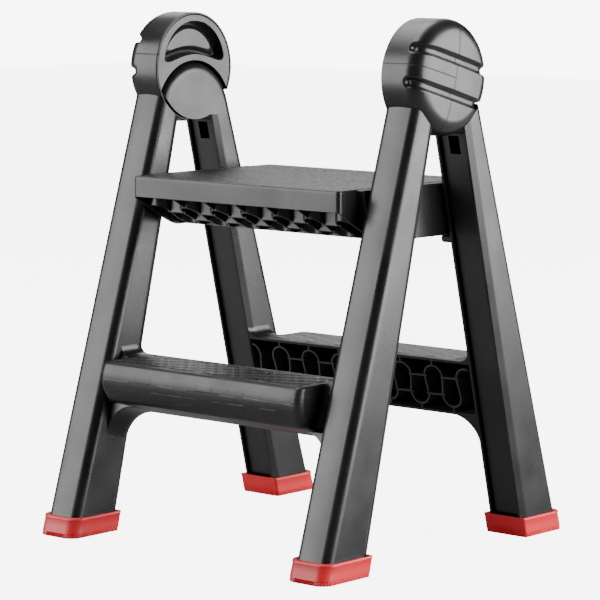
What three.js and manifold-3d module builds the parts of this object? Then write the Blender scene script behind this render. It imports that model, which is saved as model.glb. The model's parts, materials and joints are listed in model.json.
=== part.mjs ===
// Folding two-sided step stool in moulded plastic, millimetres, +Z up.
// The origin is on the floor under the middle of the open stool. X is its width, -Y is its front.
// Two frames, each with two legs and a low tread, meet in round hinge housings at the top.
// The top tread turns on the front legs and its rear end rests on two pegs of the rear legs.

import * as THREE from 'three';
import { mergeVertices } from 'three/addons/utils/BufferGeometryUtils.js';
import Module from 'manifold-3d';

const wasm = await Module();
wasm.setup();

// ---- hinge and housings -------------------------------------------------------------------
const hingeHeight = 488.5;        // hinge axis above the floor
const housingRadius = 66;
const hingeInset = 9.3;           // the hinge axis lies this far inside a housing's lower edge
const housingWall = 2.8;          // cylinder wall of a grip cap
const rimStandoff = 3;            // inner rim of a grip cap, outward of the leg's inner side
const capFaceStandoff = 7;        // outer face of a grip cap, outward of the leg's outer side
const capEdgeRadius = 20;         // rounding between cylinder and outer face
const capFloor = 9.7;             // thickness of the outer face
const capChamfer = 7;             // where the outer face meets the inner wall
const capStepWall = 8.4;          // cylinder wall where the grip grooves run
const grooveWidth = 11;
const grooveDepth = 5;
const grooveSpread = 20;          // each groove's distance from the housing centre
const grooveLean = 15.3;          // degrees, square to the front legs
const grooveRun = 24;             // grooves run this far in from the outer face
const headCrown = 4.8;            // a rear leg's round head tops the housing centre by this much
const headThickness = 24.5;
const headGap = 3.5;              // dark gap over the head, below the finger plate
const lensGap = 0.6;              // between the head and the housing's cylinder wall
const wallEnd = -14;              // the cylinder wall's inner half ends here, ahead of the pin
const lipBackset = 4;             // the head's lip stays this far behind the wall's end
const coreThickness = 9.5;        // front frame's disc that carries the pin
const eyeRadius = 14.6;           // boss of that disc around the pin
const neckDrop = 48.5;            // the disc's neck in the leg starts this far below the hinge
const neckRise = 31.5;            // and ends this far above it
const neckFaceInset = 1.5;        // behind the leg's outer face
const washerThickness = 1.4;
const washerRadius = 24;
const pinRadius = 5;
const pinFlangeRadius = 8;
const pinFlangeThickness = 2;
const headSkin = 6.5;             // plastic left over the end of the hinge pin
const pocketDepth = 14;           // finger pocket of a finger plate
const pocketSide = 15.5;          // the pocket's ends stop this far inside the housing
const pocketTop = 12;             // its crown stays this far below the housing's top
const pocketMargin = 3.2;         // its base clears the crown of the round head by this much
const pocketEndRadius = 8;
const pocketEndTurn = 0.5;        // radians, how far the end arcs run past the level
const pocketSag = 8;              // the ends hang this far below the middle
const pocketShoulder = 30;        // pull of the upper corners, in from the housing's side
const pocketCrownDrop = 4;

// ---- legs ---------------------------------------------------------------------------------
const legOuterX = 220;
const legWidth = 50;
const legWall = 3.2;
const legCornerRadius = 12;
const legStrip = 8.5;             // canted strip along the open edge of a side wall
const legStripCant = 18;          // degrees
const footReach = 216.3;          // outer faces of the legs at the floor, from the middle
const headReach = 65.9;           // the same faces at hinge height
const footInset = 146;            // open faces of the legs at the floor
const headInset = 29.4;           // the same faces at hinge height
const bandRise = 18;              // the rear leg's band runs this far up into its round head
const channelDrop = 6.5;          // the leg's channel ends this far below the hinge axis
const coverRecess = 5;            // cover plates lie this deep in the channel
const coverThickness = 2.4;
const coverFootGap = 2.4;         // between a cover plate and the foot cap
const coverHeadGap = 2;           // between a cover plate and the end of the channel
const coverSideGap = 1.6;
const latchSlotWidth = 15;
const latchSlotLength = 21;
const latchSlotDrop = 3;          // below the cover plate's upper end

// ---- foot caps ----------------------------------------------------------------------------
const footCapHeight = 23.6;
const footCapWall = 5;            // on the three outer sides
const footCapOpenWall = 3;        // on the open side of the leg
const footCapFloor = 4;
const footCapRadius = 16;
const footCapChamfer = 3;         // along the open side's corners
const footCapChamferInset = 1.5;

// ---- low treads ---------------------------------------------------------------------------
const lowTreadTop = 208;
const lowTreadSideGap = 15.6;     // the part ahead of the legs is this much narrower each side
const lowTreadNose = 26.74;       // top front edge, ahead of the legs' outer faces
const lowTreadSkirt = 46;
const lowTreadTuck = 5;           // the skirt's lower edge lies this far behind the top edge
const lowTreadPull = 11;          // the skirt's curve is pulled this far ahead of it
const lowTreadBulgeDrop = 18.4;   // that pull's depth below the top
const lowTreadDepth = 66.5;       // height of the open ribbed side
const lowTreadWall = 3;
const lowTreadBackset = 18;       // the tread's ends start this far behind the leg's outer face
const topFillet = 12;
const underFillet = 35;

// ---- ribs, one wavy wall with ties --------------------------------------------------------
const ribPitch = 48;
const ribWall = 2;
const ribLoopRadius = 13.5;
const ribShift = -4.2;            // pattern offset from the middle of a low tread
const ribMargin = 6;              // loops stop this far from the plates

// ---- top tread ----------------------------------------------------------------------------
const topTreadDrop = 66.6;        // its top lies this far below the hinge axis
const topTreadSideGap = 10.7;     // to the legs' inner sides
const topTreadReach = 120.6;      // front and rear edges
const topTreadCornerRadius = 4;
const topTreadSkirt = 24.5;
const topTreadDepth = 62;         // height of the side walls between the legs
const topTreadKeel = 70;          // the deep part runs this far each way
const topTreadArch = 84;          // pull of the arch between the keel and the skirts
const topTreadArchRise = 21;
const topTreadWall = 3;
const earSideGap = 1.5;           // bearing pads beside the legs
const earBeyondPeg = 6;           // the pads' flat underside runs this far past the peg axis
const earSlope = 8;               // and their sloping ends this much further
const earToeRise = 10;            // the front toe is this much higher
const earDrop = 0.5;              // the pads stop this far below the deck
const topRibRows = 3;
const catchWidth = 6;             // hooks behind the pegs
const catchThickness = 8;
const catchDrop = 11;
const catchBevel = 3;
const catchFlare = 4;
const catchRoot = 20;

// ---- pins of the top tread ----------------------------------------------------------------
const pivotDrop = 26.9;           // below the top of the tread
const pivotRadius = 5;
const pivotHeadRadius = 8;
const pivotHeadThickness = 3;
const pegRadius = 5;
const pegInset = 14.64;           // peg axis, ahead of the rear leg's open face
const pegLength = 18;
const pegNeckRadius = 4;
const pegClipRadius = 6;
const pegClipThickness = 1;

// ---- screws -------------------------------------------------------------------------------
const screwRadius = 2;
const screwHeadRadius = 4;
const screwHeadThickness = 2.5;
const screwInset = 28;            // the two screws, in from the edge of the housing
const screwGrip = 3.5;            // thread in the floor of the grip cap
const screwSink = 0.5;            // screw heads lie this far below the disc's face

const clearance = 0.3;            // between pieces that touch
const runningGap = 0.4;           // between pieces that turn
const overcut = 10;               // cuts run this far past what they cut
const arcSteps = 6;
const loopSteps = 4;
const roundSteps = 40;
const pinSteps = 16;
const screwSteps = 8;

// ---- derived places -----------------------------------------------------------------------
const degrees = Math.PI / 180;
const housingRise = housingRadius - hingeInset;
const housingHeight = hingeHeight + housingRise;
const headRadius = housingRise + headCrown;
const legInnerX = legOuterX - legWidth;
const housingInnerX = legInnerX + rimStandoff;
const capFaceX = legOuterX + capFaceStandoff;
const grooveEndX = capFaceX - grooveRun;
const nominalDepth = 60;          // the leg section is drawn this deep, then tapered
const headOuterX = legInnerX + headThickness;
const coreInnerX = headOuterX + washerThickness + 2 * clearance;
const coreOuterX = coreInnerX + coreThickness;
const capInnerRadius = housingRadius - housingWall;
const capStepRadius = housingRadius - capStepWall;
const lensRadius = capInnerRadius - lensGap;
const coreRadius = capStepRadius - runningGap;
const screwCircle = housingRadius - screwInset;
const neckOpenInset = coverRecess + coverThickness + 1;
const neckLow = hingeHeight - neckDrop;
const neckHigh = hingeHeight + neckRise;
const pocketBase = headRadius - housingRise + pocketMargin;
const stripInset = legStrip * Math.tan(legStripCant * degrees);
const faceY = (z) => footReach + (headReach - footReach) * z / hingeHeight;
const openY = (z) => footInset + (headInset - footInset) * z / hingeHeight;
const channelTop = hingeHeight - channelDrop;
const coverHead = channelTop - coverHeadGap;
const coverFoot = footCapHeight + coverFootGap;
const latchSlotHigh = coverHead - latchSlotDrop;
const latchSlotLow = latchSlotHigh - latchSlotLength;
const lowTreadBottom = lowTreadTop - lowTreadDepth;
const lowTreadHalfWidth = legInnerX - lowTreadSideGap;
const lowTreadFront = faceY(lowTreadTop) + lowTreadNose;
const lowTreadToe = lowTreadFront - lowTreadTuck;
const lowTreadBulge = lowTreadFront + lowTreadPull;
const topTreadTop = hingeHeight - topTreadDrop;
const topTreadBottom = topTreadTop - topTreadDepth;
const topTreadHalfWidth = legInnerX - topTreadSideGap;
const earHalfWidth = legInnerX - earSideGap;
const pivotHeight = topTreadTop - pivotDrop;
const pivotY = -(faceY(pivotHeight) + openY(pivotHeight)) / 2;
const pegHeight = topTreadBottom - pegRadius - clearance;
const pegReach = openY(pegHeight) + pegInset;
const earToe = pegReach + earBeyondPeg;
const earReach = earToe + earSlope;

// ---- materials ----------------------------------------------------------------------------
const charcoal = () => new THREE.MeshStandardMaterial({ color: '#2d2e30', roughness: 0.5, metalness: 0 });
const darkPlate = () => new THREE.MeshStandardMaterial({ color: '#222325', roughness: 0.55, metalness: 0 });
const redRubber = () => new THREE.MeshStandardMaterial({ color: '#d2222d', roughness: 0.45, metalness: 0 });
const nylon = () => new THREE.MeshStandardMaterial({ color: '#1b1b1c', roughness: 0.4, metalness: 0 });
const steel = () => new THREE.MeshStandardMaterial({ color: '#a9abad', roughness: 0.35, metalness: 1 });

// ---- from geometry to solid and back ------------------------------------------------------
function solidOf(geometry) {
  geometry.deleteAttribute('normal');
  geometry.deleteAttribute('uv');
  const merged = mergeVertices(geometry, 1e-4);
  const mesh = new wasm.Mesh({
    numProp: 3,
    vertProperties: new Float32Array(merged.attributes.position.array),
    triVerts: new Uint32Array(merged.index.array),
  });
  return new wasm.Manifold(mesh);
}

function joined(solids) {
  return solids.reduce((whole, piece) => whole.add(piece));
}

const stool = new THREE.Group();

function addNode(name, solid, material) {
  const mesh = solid.getMesh();
  const geometry = new THREE.BufferGeometry();
  geometry.setAttribute('position', new THREE.BufferAttribute(new Float32Array(mesh.vertProperties), 3));
  geometry.setIndex(new THREE.BufferAttribute(new Uint32Array(mesh.triVerts), 1));
  const node = new THREE.Mesh(geometry, material);
  node.name = name;
  stool.add(node);
}

// ---- extrusions ---------------------------------------------------------------------------
const axisX = new THREE.Vector3(1, 0, 0);
const axisY = new THREE.Vector3(0, 1, 0);
const axisZ = new THREE.Vector3(0, 0, 1);

function extrusion(shape, depth) {
  return new THREE.ExtrudeGeometry(shape, { depth, bevelEnabled: false, curveSegments: arcSteps });
}

// the shape is drawn in (y, z) and the solid runs from one x to the other
function alongX(shape, from, to) {
  const geometry = extrusion(shape, Math.abs(to - from));
  geometry.applyMatrix4(new THREE.Matrix4().makeBasis(axisY, axisZ, axisX));
  geometry.translate(Math.min(from, to), 0, 0);
  return geometry;
}

// the shape is drawn in (x, z) and the solid runs from one y to the other
function alongY(shape, from, to) {
  const geometry = extrusion(shape, Math.abs(to - from));
  geometry.applyMatrix4(new THREE.Matrix4().makeBasis(axisX, axisZ, axisY.clone().negate()));
  geometry.translate(0, Math.max(from, to), 0);
  return geometry;
}

// the shape is drawn in (x, y)
function alongZ(shape, from, to) {
  const geometry = extrusion(shape, to - from);
  geometry.translate(0, 0, from);
  return geometry;
}

function outline(points) {
  return new THREE.Shape(points.map(([a, b]) => new THREE.Vector2(a, b)));
}

// a cylinder whose axis runs along X through (y, z)
function barX(radius, from, to, y, z, steps) {
  const geometry = new THREE.CylinderGeometry(radius, radius, Math.abs(to - from), steps);
  geometry.rotateZ(Math.PI / 2);
  geometry.translate((from + to) / 2, y, z);
  return solidOf(geometry);
}

// ---- leg section --------------------------------------------------------------------------
// Drawn in (x, y) from the open face at y = 0 to the outer face at y = nominalDepth. grow moves
// the three outer sides outwards and openGrow the open face. tapered() then puts each half of the
// section on its own sloping face, so wall, corners and strips keep their sizes up the leg.
function legOutline(side, facing, grow, openGrow, radius, strip, inset) {
  const shape = new THREE.Shape();
  const innerX = legInnerX - grow;
  const outerX = legOuterX + grow;
  const open = -openGrow;
  const outer = nominalDepth + grow;
  const points = [[outerX - inset, open], [outerX, open + strip], [outerX, outer - radius]];
  for (let i = 1; i <= arcSteps / 2; i++) {
    const turn = i / (arcSteps / 2) * Math.PI / 2;
    points.push([outerX - radius + radius * Math.cos(turn), outer - radius + radius * Math.sin(turn)]);
  }
  for (let i = 0; i <= arcSteps / 2; i++) {
    const turn = Math.PI / 2 + i / (arcSteps / 2) * Math.PI / 2;
    points.push([innerX + radius + radius * Math.cos(turn), outer - radius + radius * Math.sin(turn)]);
  }
  points.push([innerX, open + strip], [innerX + inset, open]);
  shape.setFromPoints(points.map(([x, y]) => new THREE.Vector2(side * x, facing * y)));
  return shape;
}

function tapered(shape, from, to, facing) {
  const geometry = alongZ(shape, from, to);
  const position = geometry.attributes.position;
  for (let i = 0; i < position.count; i++) {
    const depth = facing * position.getY(i);
    const z = position.getZ(i);
    const placed = depth > nominalDepth / 2 ? faceY(z) - nominalDepth + depth : openY(z) + depth;
    position.setY(i, facing * placed);
  }
  return solidOf(geometry);
}

function legChannel(side, facing) {
  const left = legInnerX + stripInset + legWall;
  const right = legOuterX - stripInset - legWall;
  const back = nominalDepth - legWall;
  const points = [[left, -overcut], [right, -overcut], [right, back], [left, back]];
  return outline(points.map(([x, y]) => [side * x, facing * y]));
}

const legFoot = footCapFloor + clearance;

function leg(side, facing) {
  const section = legOutline(side, facing, 0, 0, legCornerRadius, legStrip, stripInset);
  const whole = tapered(section, legFoot, housingHeight, facing);
  const channel = tapered(legChannel(side, facing), legFoot - overcut, channelTop, facing);
  return whole.subtract(channel);
}

// ---- low tread ----------------------------------------------------------------------------
// side view: flat top, bulging skirt, underside rising towards the front, open slanted rear
function lowTreadProfile(facing, wall) {
  const shape = new THREE.Shape();
  const back = wall > 0 ? -overcut : 0;
  const top = lowTreadTop - wall;
  const low = lowTreadBottom + wall;
  shape.moveTo(facing * (openY(top) + back), top);
  shape.lineTo(facing * (lowTreadFront - wall), top);
  shape.quadraticCurveTo(facing * (lowTreadBulge - wall), lowTreadTop - lowTreadBulgeDrop,
    facing * (lowTreadToe - wall), lowTreadTop - lowTreadSkirt + wall);
  shape.lineTo(facing * (openY(low) + back), low);
  shape.closePath();
  return shape;
}

// everything beyond the slanted plane of the open faces
function openSide(facing) {
  const low = lowTreadBottom - underFillet - overcut;
  const high = lowTreadTop + topFillet + overcut;
  const depth = 4 * overcut;
  return solidOf(alongX(outline([
    [facing * (openY(low) - depth), low], [facing * openY(low), low],
    [facing * openY(high), high], [facing * (openY(high) - depth), high],
  ]), -legInnerX - 2, legInnerX + 2));
}

// the space in front of the leg that the narrow front of the tread leaves free
function treadShoulder(side, facing, grow) {
  const low = lowTreadBottom - overcut;
  const high = lowTreadTop + overcut;
  const reach = lowTreadBulge + overcut;
  return solidOf(alongX(outline([
    [facing * (faceY(low) - lowTreadBackset - grow), low], [facing * reach, low],
    [facing * reach, high], [facing * (faceY(high) - lowTreadBackset - grow), high],
  ]), side * (lowTreadHalfWidth - grow), side * (legInnerX + 5)));
}

function upperFillet(side, facing) {
  const shape = new THREE.Shape();
  const centreX = legInnerX - topFillet;
  shape.moveTo(side * (legInnerX + 1), lowTreadTop - 1);
  shape.lineTo(side * centreX, lowTreadTop - 1);
  for (let i = 0; i <= arcSteps; i++) {
    const turn = -Math.PI / 2 + i / arcSteps * Math.PI / 2;
    shape.lineTo(side * (centreX + topFillet * Math.cos(turn)),
      lowTreadTop + topFillet + topFillet * Math.sin(turn));
  }
  shape.lineTo(side * (legInnerX + 1), lowTreadTop + topFillet);
  shape.closePath();
  const from = facing * (openY(lowTreadTop) - 2);
  const to = facing * (faceY(lowTreadTop + topFillet) - lowTreadBackset);
  return solidOf(alongY(shape, from, to));
}

function lowerFillet(side, facing) {
  const shape = new THREE.Shape();
  const centreX = legInnerX - underFillet;
  shape.moveTo(side * (legInnerX + 1), lowTreadBottom + lowTreadWall);
  shape.lineTo(side * centreX, lowTreadBottom + lowTreadWall);
  for (let i = 0; i <= arcSteps; i++) {
    const turn = Math.PI / 2 - i / arcSteps * Math.PI / 2;
    shape.lineTo(side * (centreX + underFillet * Math.cos(turn)),
      lowTreadBottom - underFillet + underFillet * Math.sin(turn));
  }
  shape.lineTo(side * (legInnerX + 1), lowTreadBottom - underFillet);
  shape.closePath();
  const near = openY(lowTreadBottom) - 2;
  const far = faceY(lowTreadBottom) - lowTreadBackset;
  const geometry = alongY(shape, facing * near, facing * far);
  const rise = (lowTreadTop - lowTreadSkirt - lowTreadBottom) / (lowTreadToe - openY(lowTreadBottom));
  const position = geometry.attributes.position;
  for (let i = 0; i < position.count; i++) {
    const run = Math.abs(position.getY(i)) - openY(lowTreadBottom);
    position.setZ(i, position.getZ(i) + run * rise);
  }
  return solidOf(geometry);
}

// ---- ribs ---------------------------------------------------------------------------------
// One wall waves up and down between two plates, with round loops at its crests. Short ties
// join each crest to its plate, and longer ties close the loops' open ends.
// The pattern is drawn in (x, v), v running from low to high.
function ribPattern(halfLength, low, high, shift) {
  const crestHigh = high - ribMargin;
  const crestLow = low + ribMargin;
  const loops = Math.ceil((halfLength * 2) / ribPitch) + 1;
  const centre = [];
  for (let i = -loops; i <= loops; i++) {
    const middle = (i / 2) * ribPitch + shift;
    const upper = i % 2 !== 0;
    const centreV = upper ? crestHigh - ribLoopRadius : crestLow + ribLoopRadius;
    for (let k = 0; k <= loopSteps; k++) {
      const turn = Math.PI * (1 - k / loopSteps);
      centre.push([middle + ribLoopRadius * Math.cos(turn),
        centreV + (upper ? 1 : -1) * ribLoopRadius * Math.sin(turn)]);
    }
  }
  const left = [];
  const right = [];
  centre.forEach(([x, v], i) => {
    const [ax, av] = centre[Math.max(i - 1, 0)];
    const [bx, bv] = centre[Math.min(i + 1, centre.length - 1)];
    const length = Math.hypot(bx - ax, bv - av);
    const nx = -(bv - av) / length * ribWall / 2;
    const nv = (bx - ax) / length * ribWall / 2;
    left.push([x + nx, v + nv]);
    right.unshift([x - nx, v - nv]);
  });
  const shapes = [outline(left.concat(right))];
  const bar = (x0, x1, v0, v1) => shapes.push(outline([[x0, v0], [x1, v0], [x1, v1], [x0, v1]]));
  const tieHigh = crestHigh - ribLoopRadius;
  const tieLow = crestLow + ribLoopRadius;
  const gap = ribPitch / 2 - ribLoopRadius;
  for (let i = -loops + 1; i < loops; i++) {
    const middle = (i / 2) * ribPitch + shift;
    const upper = i % 2 !== 0;
    const tie = upper ? tieLow : tieHigh;
    bar(middle - ribPitch / 2 + gap, middle + ribPitch / 2 - gap, tie - ribWall / 2, tie + ribWall / 2);
    const [from, to] = upper ? [crestHigh - ribWall / 2, high + 1] : [low - 1, crestLow + ribWall / 2];
    bar(middle - ribWall / 2, middle + ribWall / 2, from, to);
  }
  return shapes;
}

function lowTread(facing) {
  let outer = solidOf(alongX(lowTreadProfile(facing, 0), -legInnerX - 1, legInnerX + 1));
  let hollow = solidOf(alongX(lowTreadProfile(facing, lowTreadWall), -legInnerX + 1, legInnerX - 1));
  const fillets = [];
  for (const side of [-1, 1]) {
    outer = outer.subtract(treadShoulder(side, facing, 0));
    hollow = hollow.subtract(treadShoulder(side, facing, lowTreadWall));
    fillets.push(upperFillet(side, facing), lowerFillet(side, facing));
  }
  const ribs = ribPattern(legInnerX, lowTreadBottom + lowTreadWall, lowTreadTop - lowTreadWall, ribShift)
    .map((shape) => solidOf(alongY(shape, facing * (openY(lowTreadTop) - overcut),
      facing * (lowTreadBulge + overcut))));
  const inside = solidOf(alongX(lowTreadProfile(facing, lowTreadWall / 2), -legInnerX - 1, legInnerX + 1))
    .subtract(joined([-1, 1].map((side) => treadShoulder(side, facing, lowTreadWall / 2))));
  const web = joined(ribs).intersect(inside);
  return joined([outer.subtract(hollow), web, ...fillets]).subtract(openSide(facing));
}

// ---- hinge housings -----------------------------------------------------------------------
function housingBar(radius, side, from, to, steps = roundSteps) {
  return barX(radius, side * from, side * to, 0, housingHeight, steps);
}

function hingeBar(radius, side, from, to, steps = roundSteps) {
  return barX(radius, side * from, side * to, 0, hingeHeight, steps);
}

// the strip between the outer face and the open face of a leg, seen from the side
function legBand(facing, low, high, faceInset, openInset) {
  return outline([
    [facing * (faceY(low) - faceInset), low], [facing * (openY(low) + openInset), low],
    [facing * (openY(high) + openInset), high], [facing * (faceY(high) - faceInset), high],
  ]);
}

function frontCore(side) {
  const neck = solidOf(alongX(legBand(-1, neckLow, neckHigh, neckFaceInset, neckOpenInset),
    side * coreInnerX, side * coreOuterX));
  return joined([
    housingBar(coreRadius, side, coreInnerX, coreOuterX),
    hingeBar(eyeRadius, side, coreInnerX, coreOuterX).intersect(
      housingBar(housingRadius - clearance, side, coreInnerX - 1, coreOuterX + 1)),
    neck,
  ]).subtract(joined([
    hingeBar(pinRadius + clearance, side, coreInnerX - 1, coreOuterX + 1, pinSteps),
    screwHole(side, -1),
    screwHole(side, 1),
  ]));
}

// everything behind one y, around the housing and the head
function behind(edge, side, from, to) {
  const wide = 2 * housingRadius;
  const low = hingeHeight - 2 * headRadius;
  const high = housingHeight + housingRadius;
  const region = outline([[edge, low], [wide, low], [wide, high], [edge, high]]);
  return solidOf(alongX(region, side * from, side * to));
}

function rearHead(side) {
  const inX = legInnerX - 1;
  const outX = headOuterX + 1;
  const wide = 2 * housingRadius;
  const beside = solidOf(alongX(outline([
    [openY(neckLow) + neckOpenInset, neckLow], [wide, neckLow], [wide, housingHeight],
    [openY(housingHeight), housingHeight], [openY(channelTop), channelTop],
    [openY(channelTop) + neckOpenInset, channelTop],
  ]), side * inX, side * outX));
  const disc = hingeBar(headRadius, side, legInnerX, headOuterX);
  const lens = housingBar(lensRadius, side, inX, outX);
  const band = solidOf(alongX(legBand(1, neckLow, hingeHeight + bandRise, runningGap, neckOpenInset),
    side * legInnerX, side * headOuterX));
  const lip = housingBar(housingRadius - clearance, side, inX, outX)
    .intersect(behind(wallEnd + lipBackset, side, inX, outX));
  return disc.intersect(joined([lens, lip, beside])).add(band)
    .subtract(hingeBar(pinRadius + runningGap, side, legInnerX + headSkin, outX, pinSteps));
}

// ---- frames -------------------------------------------------------------------------------
const wallHole = (side, y, z, radius) =>
  barX(radius, side * (legInnerX - 1), side * (legInnerX + stripInset + legWall + 1), y, z, pinSteps);

function frontFrame() {
  const pieces = [lowTread(-1)];
  for (const side of [-1, 1]) {
    const clear = housingBar(housingRadius + runningGap, side, legInnerX - 5, legOuterX + 5);
    const hole = wallHole(side, pivotY, pivotHeight, pivotRadius + clearance);
    pieces.push(leg(side, -1).subtract(clear).subtract(hole), frontCore(side));
  }
  return joined(pieces);
}

function rearFrame() {
  const pieces = [lowTread(1)];
  for (const side of [-1, 1]) {
    const clear = housingBar(housingRadius + runningGap, side, legInnerX - 5, legOuterX + 5);
    const hole = wallHole(side, pegReach, pegHeight, pegNeckRadius + clearance);
    pieces.push(leg(side, 1).subtract(clear).subtract(hole), rearHead(side));
  }
  return joined(pieces);
}

// ---- pieces of the legs -------------------------------------------------------------------
function coverPlate(side, facing) {
  const left = legInnerX + stripInset + legWall + coverSideGap;
  const right = legOuterX - stripInset - legWall - coverSideGap;
  const section = (x0, x1, y0, y1) => outline([[x0, y0], [x1, y0], [x1, y1], [x0, y1]]
    .map(([x, y]) => [side * x, facing * y]));
  const plate = tapered(section(left, right, coverRecess, coverRecess + coverThickness),
    coverFoot, coverHead, facing);
  const middle = (left + right) / 2;
  const slot = tapered(section(middle - latchSlotWidth / 2, middle + latchSlotWidth / 2,
    coverRecess - 2, coverRecess + coverThickness + 2), latchSlotLow, latchSlotHigh, facing);
  return plate.subtract(slot);
}

function footCap(side, facing) {
  const outside = legOutline(side, facing, footCapWall, footCapOpenWall, footCapRadius,
    footCapChamfer, footCapChamferInset);
  const inside = legOutline(side, facing, clearance, clearance, legCornerRadius, legStrip, stripInset);
  return tapered(outside, 0, footCapHeight, facing)
    .subtract(tapered(inside, footCapFloor, footCapHeight + 5, facing));
}

// ---- grip caps ----------------------------------------------------------------------------
// the outer skin of a cap, shrunk by a depth: cylinder, quarter round and flat face
function capSkin(side, shrink, from) {
  const radius = capEdgeRadius - shrink;
  const points = [[0, from], [housingRadius - shrink, from]];
  for (let i = 0; i <= arcSteps; i++) {
    const turn = i / arcSteps * Math.PI / 2;
    points.push([housingRadius - capEdgeRadius + radius * Math.cos(turn),
      capFaceX - capEdgeRadius + radius * Math.sin(turn)]);
  }
  points.push([0, capFaceX - shrink]);
  return turned(points, side);
}

function turned(points, side) {
  const geometry = new THREE.LatheGeometry(points.map(([r, x]) => new THREE.Vector2(r, x)), roundSteps);
  geometry.rotateZ(-side * Math.PI / 2);
  geometry.translate(0, 0, housingHeight);
  return solidOf(geometry);
}

function gripCap(side) {
  const floorX = capFaceX - capFloor;
  const chamfer = Math.min(capChamfer, floorX - coreOuterX - clearance);
  const hollow = turned([
    [0, housingInnerX - 2], [capInnerRadius, housingInnerX - 2], [capInnerRadius, coreInnerX],
    [capStepRadius, coreInnerX], [capStepRadius, floorX - chamfer], [capStepRadius - chamfer, floorX],
    [0, floorX],
  ], side);
  let cap = capSkin(side, 0, housingInnerX).subtract(hollow);
  for (const offset of [-grooveSpread, grooveSpread]) {
    const run = capFaceX - grooveEndX + overcut;
    const slab = new THREE.BoxGeometry(run, 4 * housingRadius, grooveWidth);
    slab.translate(side * (grooveEndX + run / 2), 0, offset);
    slab.rotateX(-grooveLean * degrees);
    slab.translate(0, 0, housingHeight);
    const skin = capSkin(side, -overcut, grooveEndX - overcut)
      .subtract(capSkin(side, grooveDepth, grooveEndX - 2 * overcut));
    cap = cap.subtract(solidOf(slab).intersect(skin));
  }
  const headRoom = hingeBar(headRadius + headGap - clearance, side, housingInnerX - 3, coreInnerX)
    .intersect(behind(wallEnd, side, housingInnerX - 4, coreInnerX));
  const eyeRoom = hingeBar(eyeRadius + clearance, side, coreInnerX - 1, coreOuterX + clearance);
  const flangeRoom = hingeBar(pinFlangeRadius + clearance, side, coreInnerX,
    coreOuterX + 3 * clearance + pinFlangeThickness, pinSteps);
  const neckRoom = solidOf(alongX(legBand(-1, neckLow, neckHigh + overcut,
    neckFaceInset - runningGap, neckOpenInset - runningGap),
    side * (coreInnerX - runningGap), side * (coreOuterX + runningGap)));
  const cuts = [headRoom, neckRoom, eyeRoom, flangeRoom, screwThread(side, -1), screwThread(side, 1)];
  return cap.subtract(joined(cuts));
}

// blind hole for a screw in the floor of the cap
function screwThread(side, end) {
  return barX(screwRadius + clearance, side * coreOuterX, side * (capFaceX - capFloor + screwGrip),
    end * screwCircle, housingHeight, screwSteps);
}

// ---- finger plates ------------------------------------------------------------------------
function fingerPlate(side) {
  const faceX = housingInnerX + 0.5;
  const backX = coreInnerX - clearance;
  const plate = housingBar(capInnerRadius - runningGap, side, faceX, backX)
    .subtract(hingeBar(headRadius + headGap, side, faceX - 1, backX + 1));
  const middle = housingHeight + pocketBase;
  const endY = housingRadius - pocketSide - pocketEndRadius;
  const endZ = middle - pocketSag + pocketEndRadius;
  const crown = housingHeight + housingRadius - pocketTop;
  const shoulder = housingRadius - pocketShoulder;
  const shape = new THREE.Shape();
  shape.moveTo(-endY, middle - pocketSag);
  shape.quadraticCurveTo(0, middle + 2 * pocketSag, endY, middle - pocketSag);
  shape.absarc(endY, endZ, pocketEndRadius, -Math.PI / 2, pocketEndTurn, false);
  shape.quadraticCurveTo(shoulder, crown, 0, crown - pocketCrownDrop);
  shape.quadraticCurveTo(-shoulder, crown,
    -endY - pocketEndRadius * Math.cos(pocketEndTurn), endZ + pocketEndRadius * Math.sin(pocketEndTurn));
  shape.absarc(-endY, endZ, pocketEndRadius, Math.PI - pocketEndTurn, 1.5 * Math.PI, false);
  return plate.subtract(solidOf(alongX(shape, side * (faceX - 1), side * (faceX + pocketDepth))));
}

// ---- hinge hardware -----------------------------------------------------------------------
function hingePin(side) {
  const flangeX = coreOuterX + clearance;
  return joined([
    hingeBar(pinRadius, side, legInnerX + headSkin + clearance, flangeX + 1, pinSteps),
    hingeBar(pinFlangeRadius, side, flangeX, flangeX + pinFlangeThickness, pinSteps),
  ]);
}

function thrustWasher(side) {
  const from = headOuterX + clearance;
  const to = from + washerThickness;
  const inside = housingBar(lensRadius, side, from - 1, to + 1);
  return hingeBar(washerRadius, side, from, to, roundSteps).intersect(inside)
    .subtract(hingeBar(pinRadius + clearance, side, from - 1, to + 1, pinSteps));
}

function capScrew(side, end) {
  const stop = capFaceX - capFloor + screwGrip - clearance;
  const headX = coreInnerX + screwSink;
  return joined([
    barX(screwRadius, side * headX, side * stop, end * screwCircle, housingHeight, screwSteps),
    barX(screwHeadRadius, side * headX, side * (headX + screwHeadThickness), end * screwCircle,
      housingHeight, screwSteps),
  ]);
}

// clearance hole and counterbore in the front frame's disc
function screwHole(side, end) {
  const boreX = coreInnerX + screwSink + screwHeadThickness + clearance;
  return joined([
    barX(screwRadius + clearance, side * (coreInnerX - 1), side * (coreOuterX + 1), end * screwCircle,
      housingHeight, screwSteps),
    barX(screwHeadRadius + clearance, side * (coreInnerX - 1), side * boreX, end * screwCircle,
      housingHeight, screwSteps),
  ]);
}

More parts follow.
